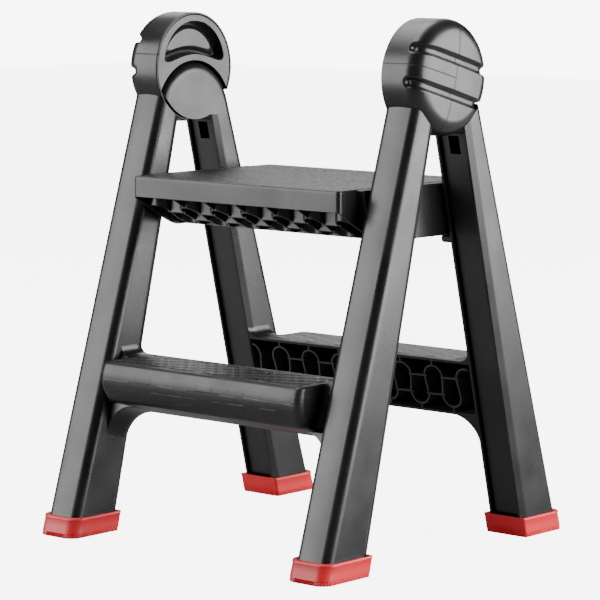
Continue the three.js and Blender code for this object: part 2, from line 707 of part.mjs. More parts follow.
// ---- top tread ----------------------------------------------------------------------------
// side view: a deep keel between the legs, rising to shallow skirts at the front and rear
function topTreadSide() {
  const skirtLow = topTreadTop - topTreadSkirt;
  const archZ = topTreadBottom + topTreadArchRise;
  const shape = new THREE.Shape();
  shape.moveTo(-topTreadReach, topTreadTop);
  shape.lineTo(-topTreadReach, skirtLow);
  shape.quadraticCurveTo(-topTreadArch, archZ, -topTreadKeel, topTreadBottom);
  shape.lineTo(topTreadKeel, topTreadBottom);
  shape.quadraticCurveTo(topTreadArch, archZ, topTreadReach, skirtLow);
  shape.lineTo(topTreadReach, topTreadTop);
  shape.closePath();
  return shape;
}

function topTreadPlan(inset) {
  const x = topTreadHalfWidth - inset;
  const y = topTreadReach - inset;
  const r = Math.max(topTreadCornerRadius - inset, 0.5);
  const shape = new THREE.Shape();
  shape.absarc(x - r, -y + r, r, -Math.PI / 2, 0, false);
  shape.absarc(x - r, y - r, r, 0, Math.PI / 2, false);
  shape.absarc(-x + r, y - r, r, Math.PI / 2, Math.PI, false);
  shape.absarc(-x + r, -y + r, r, Math.PI, 1.5 * Math.PI, false);
  return shape;
}

function topTread() {
  const below = topTreadBottom - overcut;
  const hull = solidOf(alongX(topTreadSide(), -earHalfWidth, earHalfWidth));
  const deck = hull.intersect(solidOf(alongZ(topTreadPlan(0), below, topTreadTop + overcut)));
  const hollow = solidOf(alongZ(topTreadPlan(topTreadWall), below, topTreadTop - topTreadWall));
  const rowDepth = 2 * (topTreadReach - topTreadWall) / topRibRows;
  const ribs = [];
  for (let row = 0; row < topRibRows; row++) {
    const from = -topTreadReach + topTreadWall + row * rowDepth;
    ribPattern(topTreadHalfWidth, from, from + rowDepth, 0).forEach((shape) =>
      ribs.push(solidOf(alongZ(shape, below, topTreadTop - 1))));
    const y = from + rowDepth;
    if (row < topRibRows - 1) {
      ribs.push(solidOf(alongZ(outline([
        [-topTreadHalfWidth, y - ribWall / 2], [topTreadHalfWidth, y - ribWall / 2],
        [topTreadHalfWidth, y + ribWall / 2], [-topTreadHalfWidth, y + ribWall / 2],
      ]), below, topTreadTop - 1)));
    }
  }
  const pieces = [deck.subtract(hollow), joined(ribs).intersect(deck)];
  const pad = outline([
    [-earReach, topTreadTop - earDrop], [-earToe, topTreadBottom + earToeRise],
    [-topTreadKeel, topTreadBottom], [earToe, topTreadBottom], [earReach, topTreadTop - earDrop],
  ]);
  for (const side of [-1, 1]) {
    pieces.push(solidOf(alongX(pad, side * (topTreadHalfWidth - 1), side * earHalfWidth)));
    const near = pegReach + pegRadius + runningGap;
    const far = near + catchThickness;
    const hook = outline([
      [near, topTreadBottom - catchDrop], [far, topTreadBottom - catchDrop + catchBevel],
      [far + catchFlare, topTreadBottom + catchRoot], [near, topTreadBottom + catchRoot],
    ]);
    const root = topTreadHalfWidth - 1;
    pieces.push(solidOf(alongX(hook, side * root, side * (root + catchWidth))));
  }
  let tread = joined(pieces);
  const wallIn = topTreadHalfWidth - topTreadWall;
  for (const side of [-1, 1]) {
    tread = tread.subtract(joined([
      barX(pivotRadius + clearance, side * (wallIn - overcut), side * (earHalfWidth + 1),
        pivotY, pivotHeight, pinSteps),
      barX(pivotHeadRadius + clearance, side * (wallIn - overcut), side * wallIn,
        pivotY, pivotHeight, pinSteps),
    ]));
  }
  return tread;
}

// ---- pins that carry the top tread --------------------------------------------------------
function treadPivot(side) {
  const headX = topTreadHalfWidth - topTreadWall - clearance;
  const wallX = legInnerX + stripInset + legWall;
  return joined([
    barX(pivotHeadRadius, side * (headX - pivotHeadThickness), side * headX, pivotY, pivotHeight, pinSteps),
    barX(pivotRadius, side * (headX - 1), side * (wallX + clearance + 1), pivotY, pivotHeight, pinSteps),
    barX(pivotHeadRadius, side * (wallX + clearance), side * (wallX + clearance + pivotHeadThickness),
      pivotY, pivotHeight, pinSteps),
  ]);
}

function treadPeg(side) {
  const rootX = legInnerX - clearance;
  const wallX = legInnerX + stripInset + legWall;
  return joined([
    barX(pegRadius, side * (rootX - pegLength), side * rootX, pegReach, pegHeight, pinSteps),
    barX(pegNeckRadius, side * (rootX - 1), side * (wallX + clearance + 1), pegReach, pegHeight, pinSteps),
    barX(pegClipRadius, side * (wallX + clearance), side * (wallX + clearance + pegClipThickness),
      pegReach, pegHeight, pinSteps),
  ]);
}

// ---- the assembly -------------------------------------------------------------------------
addNode('front_frame', frontFrame(), charcoal());
addNode('rear_frame', rearFrame(), charcoal());
addNode('top_tread', topTread(), charcoal());

for (const [side, hand] of [[-1, 'left'], [1, 'right']]) {
  for (const [facing, end] of [[-1, 'front'], [1, 'rear']]) {
    addNode(`foot_cap_${end}_${hand}`, footCap(side, facing), redRubber());
    addNode(`leg_cover_${end}_${hand}`, coverPlate(side, facing), darkPlate());
  }
  addNode(`grip_cap_${hand}`, gripCap(side), charcoal());
  addNode(`finger_plate_${hand}`, fingerPlate(side), charcoal());
  addNode(`hinge_pin_${hand}`, hingePin(side), steel());
  addNode(`thrust_washer_${hand}`, thrustWasher(side), nylon());
  for (const [facing, end] of [[-1, 'front'], [1, 'rear']]) {
    addNode(`cap_screw_${end}_${hand}`, capScrew(side, facing), steel());
  }
  addNode(`tread_pivot_${hand}`, treadPivot(side), nylon());
  addNode(`tread_peg_${hand}`, treadPeg(side), nylon());
}

export default stool;
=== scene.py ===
import json
import math

import bmesh
import bpy
import numpy as np
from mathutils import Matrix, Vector


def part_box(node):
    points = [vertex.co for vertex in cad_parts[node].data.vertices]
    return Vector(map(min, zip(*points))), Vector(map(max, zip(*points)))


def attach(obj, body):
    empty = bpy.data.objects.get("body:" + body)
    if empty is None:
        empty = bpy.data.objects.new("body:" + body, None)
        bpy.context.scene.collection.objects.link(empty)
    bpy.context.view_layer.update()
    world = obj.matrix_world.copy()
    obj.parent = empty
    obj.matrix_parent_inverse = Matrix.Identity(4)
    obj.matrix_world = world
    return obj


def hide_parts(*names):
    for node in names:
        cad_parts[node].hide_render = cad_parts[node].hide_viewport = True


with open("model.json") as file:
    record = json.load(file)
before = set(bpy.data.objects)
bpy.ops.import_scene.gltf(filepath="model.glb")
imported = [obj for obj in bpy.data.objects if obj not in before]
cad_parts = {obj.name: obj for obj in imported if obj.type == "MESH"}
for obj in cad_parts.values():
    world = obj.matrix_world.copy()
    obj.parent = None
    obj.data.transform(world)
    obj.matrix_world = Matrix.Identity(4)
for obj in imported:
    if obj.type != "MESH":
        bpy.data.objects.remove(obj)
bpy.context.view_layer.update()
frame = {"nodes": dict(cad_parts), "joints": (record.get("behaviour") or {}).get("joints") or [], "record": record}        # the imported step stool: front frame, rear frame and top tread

MM = 0.001

# ---- Legs --------------------------------------------------------------------------------
# Each frame is one polypropylene moulding. A leg is a deep channel with rounded outer corners,
# open towards the other frame, and narrows upwards until it meets the round housing.


def mm(length):
    """One of the frame's lengths in mm, to a hundredth."""
    return round(length / MM, 2)


frame_low, frame_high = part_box("front_frame")
cap_low, cap_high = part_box("grip_cap_right")
HINGE_Z = mm(frame["joints"][0]["pos_m"][2])
HOUSING_R = mm(cap_high[1])
HOUSING_Z = mm(cap_high[2]) - HOUSING_R
SHOULDER = 20.0               # radius of the housing's shoulder, which starts at SHOULDER_X
SHOULDER_X = mm(cap_high[0]) - SHOULDER
FACE_Y = (216.3, 65.9)        # the outer face at the floor and at the hinge, from the middle plane
OPEN_Y = (146.0, 29.4)        # the open face, in the same way
LEG_FOOT = mm(frame_low[2])   # a leg ends this far up inside its shoe
LEG_GAP = 0.3                 # from a leg's top to the housing
LEG_WIDTH = 50.0
LEG_X = (mm(frame_high[0]) - LEG_WIDTH, mm(frame_high[0]))
LEG_DEPTH = 60.0              # the section is drawn this deep, then put on its sloping faces
LEG_WALL = 3.2
LEG_CORNER = 12.0
LEG_CROWN = 0.7               # the outer face stands this much proud at its middle
STRIP = 8.5                   # canted strip along the open edge
STRIP_INSET = 2.76
SEAM = 0.5                    # fine line between strip and side wall
END_Z = (481.0, 495.0)        # the solid end of the channel, from its underside to inside the housing
END_INSET = 4.0               # in from the leg's two sides
END_DEPTH = (0.8, 12.0)       # behind the open face


def face_y(z):
    """Distance of a leg's outer face from the middle plane: a straight slope."""
    return FACE_Y[0] + (FACE_Y[1] - FACE_Y[0]) * z / HINGE_Z


def open_y(z):
    """Distance of a leg's open face from the middle plane: a straight slope."""
    return OPEN_Y[0] + (OPEN_Y[1] - OPEN_Y[0]) * z / HINGE_Z


def quads(rows, cols, closed):
    """Corners of the quads between rows x cols grid points; closed joins the last column to the first."""
    index = np.arange(rows * cols).reshape(rows, cols)
    if closed:
        index = np.hstack([index, index[:, :1]])
    corners = [index[:-1, :-1], index[:-1, 1:], index[1:, 1:], index[1:, :-1]]
    return np.stack(corners, axis=-1).reshape(-1, 4)


def linear(code):
    """sRGB hex code to linear red, green, blue and alpha."""
    value = np.array([int(code[i:i + 2], 16) for i in (1, 3, 5)]) / 255
    value = np.where(value <= 0.04045, value / 12.92, ((value + 0.055) / 1.055) ** 2.4)
    return [*value.tolist(), 1.0]


def node(tree, kind, props=None, inputs=None):
    """Adds a node, sets its properties, and sets or links its inputs."""
    made = tree.nodes.new(kind)
    for name, value in (props or {}).items():
        setattr(made, name, value)
    for name, value in (inputs or {}).items():
        if isinstance(value, bpy.types.NodeSocket):
            tree.links.new(value, made.inputs[name])
        else:
            made.inputs[name].default_value = value
    return made


def plastic(name, colour, worn, roughness, grain, bump, relief=None):
    """Moulded plastic: spark-eroded grain of the given size in mm, and faint cloudy wear, in patches of
    about 45 mm, in the gloss and the colour. relief is a function of the tree and the coordinates that
    adds a height in mm."""
    material = bpy.data.materials.new(name)
    material.use_nodes = True
    tree = material.node_tree
    tree.nodes.clear()
    place = node(tree, "ShaderNodeTexCoord").outputs["Object"]
    fine = node(tree, "ShaderNodeTexNoise", inputs={
        "Vector": place, "Scale": 1 / (grain * MM), "Detail": 3.0})
    cloud = node(tree, "ShaderNodeTexNoise", inputs={"Vector": place, "Scale": 22.0, "Detail": 4.0})
    tint = node(tree, "ShaderNodeMix", {"data_type": "RGBA"},
                {"Factor": cloud.outputs["Fac"], "A": linear(colour), "B": linear(worn)})
    gloss = node(tree, "ShaderNodeMapRange", inputs={
        "Value": cloud.outputs["Fac"], "From Min": 0.3, "From Max": 0.7,
        "To Min": roughness - 0.05, "To Max": roughness + 0.06})
    rough = node(tree, "ShaderNodeBump", inputs={
        "Height": fine.outputs["Fac"], "Strength": 1.0, "Distance": bump * MM})
    if relief:
        rough = node(tree, "ShaderNodeBump", inputs={
            "Height": relief(tree, place), "Strength": 1.0, "Distance": MM,
            "Normal": rough.outputs["Normal"]})
    shader = node(tree, "ShaderNodeBsdfPrincipled", inputs={
        "Base Color": tint.outputs["Result"], "Roughness": gloss.outputs["Result"],
        "IOR": 1.49, "Normal": rough.outputs["Normal"]})
    node(tree, "ShaderNodeOutputMaterial", inputs={"Surface": shader.outputs["BSDF"]})
    return material


# Satin polypropylene, injection moulded and spark-eroded: dark grey body with a broad soft shine
charcoal = plastic("charcoal_polypropylene", "#101112", "#161718", 0.31, 0.9, 0.05)


def piece(name, points, faces, material, body, slot, stands_for=(), bevel=0.0, sharp=35):
    """Makes a mesh in mm from points and faces, closes its seams and poles, turns its faces out,
    rounds its edges and hangs it on its body."""
    mesh = bpy.data.meshes.new(name)
    mesh.from_pydata((np.asarray(points).reshape(-1, 3) * MM).tolist(), [], faces)
    work = bmesh.new()
    work.from_mesh(mesh)
    bmesh.ops.remove_doubles(work, verts=work.verts, dist=1e-6)
    bmesh.ops.dissolve_degenerate(work, edges=work.edges, dist=1e-7)
    bmesh.ops.recalc_face_normals(work, faces=work.faces)
    work.to_mesh(mesh)
    work.free()
    mesh.shade_smooth()
    made = bpy.data.objects.new(name, mesh)
    bpy.context.scene.collection.objects.link(made)
    made.data.materials.append(material)
    if bevel:
        rounding = made.modifiers.new("rounding", "BEVEL")
        rounding.width = bevel * MM
        rounding.segments = 3
        rounding.limit_method = "ANGLE"
        rounding.angle_limit = math.radians(sharp)
        rounding.harden_normals = True
    else:
        mesh.set_sharp_from_angle(angle=math.radians(sharp))
    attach(made, body)
    if stands_for:
        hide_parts(*stands_for)
    return made


def loft(name, sections, *rest, **more):
    """A closed body from a row of closed loops, with its first and last loop as end faces."""
    rows, cols = sections.shape[:2]
    faces = quads(rows, cols, True).tolist()
    faces += [list(range(cols)), list(range((rows - 1) * cols, rows * cols))]
    return piece(name, sections, faces, *rest, **more)


def arc(x, y, radius, start, end, steps):
    """Points of a circle's arc about (x, y), from one angle in degrees to another."""
    turn = np.radians(np.linspace(start, end, steps))
    return np.stack([x + radius * np.cos(turn), y + radius * np.sin(turn)], axis=1)


def leg_section():
    """The channel's loop in (x, depth): canted strips with a fine line, rounded corners, crowned back."""
    low, high = LEG_X
    back = LEG_DEPTH
    crown_x = np.linspace(low + LEG_CORNER + 2, high - LEG_CORNER - 2, 9)
    middle = (low + high) / 2
    crown = back + LEG_CROWN * (1 - ((crown_x - middle) / (middle - low - LEG_CORNER)) ** 2)
    wall_low = low + STRIP_INSET + LEG_WALL
    wall_high = high - STRIP_INSET - LEG_WALL
    floor = back - LEG_WALL
    return np.concatenate([
        [[low + STRIP_INSET, 0], [low, STRIP - SEAM], [low + SEAM, STRIP], [low, STRIP + SEAM]],
        arc(low + LEG_CORNER, back - LEG_CORNER, LEG_CORNER, 180, 90, 14),
        np.stack([crown_x, crown], axis=1),
        arc(high - LEG_CORNER, back - LEG_CORNER, LEG_CORNER, 90, 0, 14),
        [[high, STRIP + SEAM], [high - SEAM, STRIP], [high, STRIP - SEAM], [high - STRIP_INSET, 0]],
        [[wall_high, 0], [wall_high, floor], [wall_low, floor], [wall_low, 0]],
    ])


def slope_of(depth):
    """Start and slope of the line that a point of the section follows up the leg: y = start + slope z."""
    outer = depth > LEG_DEPTH / 2
    start = np.where(outer, face_y(0) - LEG_DEPTH + depth, open_y(0) + depth)
    slope = np.where(outer, face_y(1) - face_y(0), open_y(1) - open_y(0))
    return start, slope


def under_housing(start, slope, x):
    """Height where a leg's line meets the housing from below: the lower root of a quadratic, with the
    housing's radius at x, which its rounded shoulder makes smaller."""
    past = np.clip(x - SHOULDER_X, 0, SHOULDER - 1)
    reach = HOUSING_R - SHOULDER + np.sqrt(SHOULDER ** 2 - past ** 2) + LEG_GAP
    a = 1 + slope ** 2
    b = 2 * (start * slope - HOUSING_Z)
    c = start ** 2 + HOUSING_Z ** 2 - reach ** 2
    return (-b - np.sqrt(np.maximum(b * b - 4 * a * c, 0))) / (2 * a)


def leg_sections(side, facing, low, rows):
    """Loops of the leg's section: point k runs straight up its slope, from the height low to the
    housing's circle."""
    section = leg_section()
    start, slope = slope_of(section[:, 1])
    top = under_housing(start, slope, section[:, 0])
    t = np.linspace(0, 1, rows)[:, None]
    z = low + (top - low) * t
    x = np.broadcast_to(section[:, 0], z.shape)
    return np.stack([side * x, facing * (start + slope * z), z], axis=-1)


SIDES = ((-1, "left"), (1, "right"))
ENDS = ((-1, "front"), (1, "rear"))
for side, hand in SIDES:
    for facing, end in ENDS:
        loft(f"leg_{end}_{hand}", leg_sections(side, facing, LEG_FOOT, 14), charcoal, f"{end}_frame",
             "charcoal", [f"{end}_frame"], bevel=0.5, sharp=30)
        # the solid end of the channel, under the housing
        low, high = LEG_X[0] + END_INSET, LEG_X[1] - END_INSET
        near, far = END_DEPTH
        corners = np.array([[low, near], [high, near], [high, far], [low, far]])
        levels = np.array(END_Z)[:, None]
        y = facing * (open_y(levels) + corners[:, 1])
        x = side * np.broadcast_to(corners[:, 0], y.shape)
        loft(f"channel_end_{end}_{hand}", np.stack([x, y, np.broadcast_to(levels, y.shape)], axis=-1),
             charcoal, f"{end}_frame", "charcoal", bevel=1.5)

# ---- Low treads --------------------------------------------------------------------------
# The tread is moulded in one with its frame: a top plate whose front edge rolls over into a bulging
# skirt, whose ends turn back and flow into the legs, and a thin plate below.

TREAD_TOP = 208.0
TREAD_SKIRT = 46.0
TREAD_LOW = 141.5             # the lower plate at the open side
TREAD_HALF = 154.4
TREAD_FRONT = 179.0
TREAD_WALL = 3.0
TREAD_CORNER = 9.0
TREAD_BACKSET = 18.0          # from a leg's outer face back to the tread's ends
TREAD_HOLLOW = 7.0            # radius where the tread's end turns back into the leg
TREAD_END = LEG_X[0] + 2.0    # the tread runs into the leg's wall as far as this
NOSE = 3.0
SWELL = 23.35                 # the skirt stands out by SWELL t - TUCK t squared, down its height
TUCK = 28.35
END_SWELL = 0.25              # its ends stand out by this share of that
RIB_PITCH = 48.0              # of the ribs behind the skirt
FILLET_R = 12.0               # above the tread
BRACE_R = 35.0                # below it
FILLET_LAP = (1.2, 1.0)       # fillets reach into the leg and into the tread by this much
SINK_ROW = 9.0                # height of a row of the skirt's sink marks


def bulge(z):
    """How far the skirt stands ahead of the top edge: a parabola in the height."""
    t = (TREAD_TOP - z) / TREAD_SKIRT
    return SWELL * t - TUCK * t ** 2


def tread_plan(z, inset):
    """The skirt's path seen from above, for each height and inset: from the left leg along a hollow
    corner, the end, a round corner and the front, to the right leg. Returns x and distance ahead."""
    z = np.asarray(z, float)[:, None]
    inset = np.asarray(inset, float)[:, None]
    front = TREAD_FRONT + bulge(z) - inset
    half = TREAD_HALF + END_SWELL * bulge(z) - inset
    back = face_y(z) - TREAD_BACKSET - inset
    outer = TREAD_CORNER - np.minimum(inset, TREAD_CORNER - 1)
    hollow = TREAD_HOLLOW + inset
    ones = np.ones_like(z)
    s = np.linspace(0, 1, 4)[None, :]
    stub_x, stub_y = TREAD_END * (1 - s) * ones + (half + hollow) * s, back * np.ones_like(s)
    turn = np.linspace(-np.pi / 2, -np.pi, 12)[None, 1:]
    hollow_x = half + hollow + hollow * np.cos(turn)
    hollow_y = back + hollow + hollow * np.sin(turn)
    s = np.linspace(0, 1, 12)[None, 1:]
    end_x, end_y = half * np.ones_like(s), (back + hollow) * (1 - s) + (front - outer) * s
    turn = np.linspace(0, np.pi / 2, 12)[None, 1:]
    corner_x = half - outer + outer * np.cos(turn)
    corner_y = front - outer + outer * np.sin(turn)
    s = np.linspace(0, 1, 40)[None, 1:]
    front_x, front_y = (half - outer) * (1 - s), front * np.ones_like(s)
    x = np.hstack([stub_x, hollow_x, end_x, corner_x, front_x])
    y = np.hstack([stub_y, hollow_y, end_y, corner_y, front_y])
    return np.hstack([x, -x[:, -2::-1]]), np.hstack([y, y[:, -2::-1]])


def tread_sections():
    """Loops through plate, rolled nose, skirt and lower plate and back along their inner sides."""
    roll = np.radians(np.linspace(90, 0, 8))
    skirt_z = np.linspace(TREAD_TOP - NOSE, TREAD_TOP - TREAD_SKIRT, 16)
    outer_inset = np.concatenate([NOSE - NOSE * np.cos(roll), np.zeros(15), [1.0]])
    lip_z = skirt_z[-1] - 1.0
    outer_z = np.concatenate([TREAD_TOP - NOSE + NOSE * np.sin(roll), skirt_z[1:], [lip_z]])
    inner_z = np.linspace(skirt_z[-1] + TREAD_WALL, TREAD_TOP - TREAD_WALL, 14)
    inner_inset = np.full(14, TREAD_WALL)
    outer_x, outer_y = tread_plan(outer_z, outer_inset)
    inner_x, inner_y = tread_plan(inner_z, inner_inset)
    steps = outer_x.shape[1]
    bend = 37                     # points of the path from the leg to the end of the round corner
    front = outer_x[0, bend:-bend]
    turn_back = np.linspace(TREAD_END, front[0], bend + 1)[:-1]
    along = np.concatenate([turn_back, front, -turn_back[::-1]])

    def sheet(x, y, z, edge_z, rows):
        """A flat plate from a row of the path to the open edge: straight lines."""
        s = np.linspace(0, 1, rows + 2)[1:, None]
        px = x * (1 - s) + along * s
        py = y * (1 - s) + open_y(edge_z) * s
        pz = z * (1 - s) + edge_z * s
        return np.stack([px, py, pz * np.ones_like(px)], axis=-1)

    top = sheet(outer_x[0], outer_y[0], TREAD_TOP, TREAD_TOP, 14)[::-1]
    outer = np.stack([outer_x, outer_y, np.repeat(outer_z[:, None], steps, 1)], axis=-1)
    low = sheet(outer_x[-1], outer_y[-1], outer_z[-1], TREAD_LOW, 10)
    low_in = sheet(inner_x[0], inner_y[0], inner_z[0], TREAD_LOW + TREAD_WALL, 10)[::-1]
    inner = np.stack([inner_x, inner_y, np.repeat(inner_z[:, None], steps, 1)], axis=-1)
    top_in = sheet(inner_x[-1], inner_y[-1], inner_z[-1], TREAD_TOP - TREAD_WALL, 10)
    return np.concatenate([top, outer, low, low_in, inner, top_in]).transpose(1, 0, 2)


def fillet(corner_z, radius, up, near, far):
    """A solid quarter hollow between a tread and a leg: an arc closed over its corner, carried from near
    to far along a tread's face of height corner_z(y), and widened where the leg's strip is canted."""
    turn = np.radians(np.linspace(-90, 0, 14)) if up else np.radians(np.linspace(90, 0, 14))
    x = LEG_X[0] - radius + radius * np.cos(turn)
    rise = (radius if up else -radius) + radius * np.sin(turn)
    in_leg, in_tread = FILLET_LAP
    sink = -in_tread if up else in_tread
    x = np.concatenate([x, [LEG_X[0] + in_leg, LEG_X[0] + in_leg, x[0]]])
    rise = np.concatenate([rise, [rise[-1], sink, sink]])
    t = np.linspace(0, 1, 12)[:, None]
    y = near + (far - near) * t
    z = corner_z(y) + rise[None, :]
    y = y + open_y(z) - open_y(corner_z(y))
    canted = STRIP_INSET * np.clip(1 - (y - open_y(z)) / STRIP, 0, 1)
    x = x + canted * (x - x.min()) / radius
    return np.stack([x, np.broadcast_to(y, z.shape), z], axis=-1)


def upper_plate(y):
    """Height of the tread's top at a distance ahead of the middle: level."""
    return np.full_like(y, TREAD_TOP)


def lower_plate(y):
    """Height of the lower plate's underside at a distance ahead of the middle: a straight slope."""
    run = (y - open_y(TREAD_LOW)) / (TREAD_FRONT - 5 - open_y(TREAD_LOW))
    return TREAD_LOW + (TREAD_TOP - TREAD_SKIRT - 1 - TREAD_LOW) * run


def brick_relief(tree, place):
    """Faint sink marks in mm on the skirt, where the ribs meet it behind: staggered blocks."""
    split = node(tree, "ShaderNodeSeparateXYZ", inputs={"Vector": place})
    flat = node(tree, "ShaderNodeCombineXYZ", inputs={"X": split.outputs["X"], "Y": split.outputs["Z"]})
    bricks = node(tree, "ShaderNodeTexBrick", {"offset": 0.5}, {
        "Vector": flat.outputs["Vector"], "Color1": (0.0, 0.0, 0.0, 1.0), "Color2": (1.0, 1.0, 1.0, 1.0),
        "Mortar": (0.3, 0.3, 0.3, 1.0), "Scale": 1.0, "Mortar Size": 0.7 * MM, "Mortar Smooth": 1.0,
        "Brick Width": RIB_PITCH / 2 * MM, "Row Height": SINK_ROW * MM})
    below = node(tree, "ShaderNodeMapRange", inputs={
        "Value": split.outputs["Z"], "From Min": (TREAD_TOP - 8) * MM, "From Max": (TREAD_TOP - 12) * MM,
        "To Min": 0.0, "To Max": 0.35})
    return node(tree, "ShaderNodeMath", {"operation": "MULTIPLY"}, {
        0: bricks.outputs["Color"], 1: below.outputs["Result"]}).outputs[0]


GRIP_STEP = 11.0              # the ridges waver and break into links of this length
GRIP_EDGE = 9.0               # plain border around the field
GRIP_PITCH = 5.2
GRIP_RISE = 0.9
GRIP_BORDER = 2.0             # the ridges rise over this distance from the field's edge


def grip_field(half, near, far, top, pitch, raised, cols):
    """A thin wavy mat over (x, y): ridges along the width from a sharpened cosine of y, which wavers
    with x and is cut into links by a cosine of x; its border sinks into the plate."""
    x = np.linspace(-half, half, cols)[None, :]
    y = np.linspace(near, far, int((far - near) / pitch * 7))[:, None]
    waver = 0.35 * pitch * np.sin(2 * np.pi * (x + 2.2 * y) / (4.4 * GRIP_STEP))
    ridge = np.abs(np.cos(np.pi * (y + waver) / pitch)) ** 1.5
    link = 1 - 0.2 * np.abs(np.cos(np.pi * (x - 0.9 * y) / GRIP_STEP)) ** 8
    edge = np.minimum(half - np.abs(x), np.minimum(y - near, far - y))
    border = np.minimum(edge, GRIP_BORDER) / GRIP_BORDER
    height = top - 0.3 + (0.35 + raised * ridge * link) * border
    skin = np.stack([x + 0 * y, y + 0 * x, height], axis=-1)
    skin = np.pad(skin, ((1, 1), (1, 1), (0, 0)), mode="edge")
    skin[[0, -1], :, 2] = skin[:, [0, -1], 2] = top - 1.0
    return skin


def mat(name, field, *rest):
    """A grip field as a closed body: the grid, and one flat face under it round its border."""
    rows, cols = field.shape[:2]
    index = np.arange(rows * cols).reshape(rows, cols)
    under = np.concatenate([index[0], index[1:-1, -1], index[-1, ::-1], index[-2:0:-1, 0]])
    return piece(name, field, quads(rows, cols, False).tolist() + [under.tolist()], *rest, sharp=60)


# The same polypropylene, with the skirt's sink marks
skirt_plastic = plastic("charcoal_skirt", "#101112", "#161718", 0.40, 0.9, 0.05, brick_relief)
for facing, end in ENDS:
    body = f"{end}_frame"
    mirror = np.array([1, facing, 1])
    loft(f"low_tread_{end}", tread_sections() * mirror, skirt_plastic, body, "charcoal", sharp=40)
    field = grip_field(TREAD_HALF - GRIP_EDGE, open_y(TREAD_TOP) + GRIP_EDGE, TREAD_FRONT - GRIP_EDGE,
                       TREAD_TOP, GRIP_PITCH, GRIP_RISE, 330)
    mat(f"tread_grip_{end}", field * mirror, charcoal, body, "charcoal")
    for side, hand in SIDES:
        flip = np.array([side, facing, 1])
        reach = face_y(TREAD_TOP) - TREAD_BACKSET - 1
        upper = fillet(upper_plate, FILLET_R, True, open_y(TREAD_TOP) + 0.5, reach)
        loft(f"tread_fillet_{end}_{hand}", upper * flip, charcoal, body, "charcoal", sharp=50)
        reach = face_y(TREAD_LOW) - TREAD_BACKSET - 5.2
        lower = fillet(lower_plate, BRACE_R, False, open_y(TREAD_LOW) + 1, reach)
        loft(f"tread_brace_{end}_{hand}", lower * flip, charcoal, body, "charcoal", sharp=50)

# ---- Ribs --------------------------------------------------------------------------------
# One thin wall snakes up and down between a tread's plates, with round loops at its crests, as the
# moulder stiffens a hollow tread. Short ties hold the loops to the plates and across their necks.

RIB_WALL = 1.9
RIB_SHIFT = -4.2              # of the low treads' pattern, sideways
LOOP_R = 13.5
RIB_MARGIN = 6.0              # from a loop's crest to its plate
END_ROOM = 12.0               # this near the tread's ends the walls stop short of its hollow corners


def snake(half, low, high, shift, margin=RIB_MARGIN):
    """Centre line of the wall in (x, v): half circles about crests and troughs, half a pitch apart."""
    count = int(math.ceil(half / RIB_PITCH)) + 1
    middle = np.arange(-2 * count, 2 * count + 1) * RIB_PITCH / 2 + shift
    upper = (np.arange(-2 * count, 2 * count + 1) % 2) != 0
    centre = np.where(upper, high - margin - LOOP_R, low + margin + LOOP_R)
    turn = np.linspace(np.pi, 0, 17)[None, :]
    x = middle[:, None] + LOOP_R * np.cos(turn)
    v = centre[:, None] + np.where(upper, 1, -1)[:, None] * LOOP_R * np.sin(turn)
    line = np.stack([x.ravel(), v.ravel()], axis=1)
    return line[np.abs(line[:, 0]) <= half]


def ties(half, low, high, shift, margin=RIB_MARGIN):
    """Straight walls of the pattern, as start and end points: across the loops' necks, and from each
    crest to its plate."""
    count = int(math.ceil(half / RIB_PITCH)) + 1
    found = []
    for i in range(-2 * count, 2 * count + 1):
        middle = i * RIB_PITCH / 2 + shift
        if abs(middle) > half - RIB_PITCH / 2:
            continue
        upper = i % 2 != 0
        neck = low + margin + LOOP_R if upper else high - margin - LOOP_R
        crest = (high - margin, high + 1) if upper else (low - 1, low + margin)
        found.append(np.linspace([middle - LOOP_R, neck], [middle + LOOP_R, neck], 12))
        found.append(np.array([[middle, crest[0]], [middle, crest[1]]]))
    return found


def ribbon(line, edges):
    """A thin wall along a line in (x, v): both sides are offset along the line's normal, and edges gives
    where the wall starts and ends in w for each point. Returns its sections in (x, v, w)."""
    run = np.gradient(line, axis=0)
    normal = np.stack([-run[:, 1], run[:, 0]], axis=1) / np.linalg.norm(run, axis=1)[:, None]
    left = line + normal * RIB_WALL / 2
    right = line - normal * RIB_WALL / 2
    (left_near, left_far), (right_near, right_far) = edges(left), edges(right)
    corners = [(left, left_near), (right, right_near), (right, right_far), (left, left_far)]
    return np.stack([np.column_stack([plan, w]) for plan, w in corners], axis=1)


def low_rib_edges(plan):
    """A low tread's ribs start just inside its open side and end short of the skirt, or near the tread's
    ends short of its turned-back corners. Low down they are cut back along a slope."""
    x, z = plan[:, 0], plan[:, 1]
    limit = np.where(np.abs(x) > TREAD_HALF - END_ROOM, face_y(z) - TREAD_BACKSET - 2, TREAD_FRONT - 3)
    slope = open_y(TREAD_LOW) - 2 + (z - TREAD_LOW - TREAD_WALL) * 3.0
    return open_y(z) + 0.6, np.clip(slope, open_y(z) + 4, limit)


def join_lofts(name, sections, *rest, **more):
    """Several closed lofts in one piece."""
    points, faces, first = [], [], 0
    for block in sections:
        rows, cols = block.shape[:2]
        points.append(block.reshape(-1, 3))
        faces += (quads(rows, cols, True) + first).tolist()
        faces += [[first + k for k in range(cols)], [first + (rows - 1) * cols + k for k in range(cols)]]
        first += rows * cols
    return piece(name, np.concatenate(points), faces, *rest, **more)


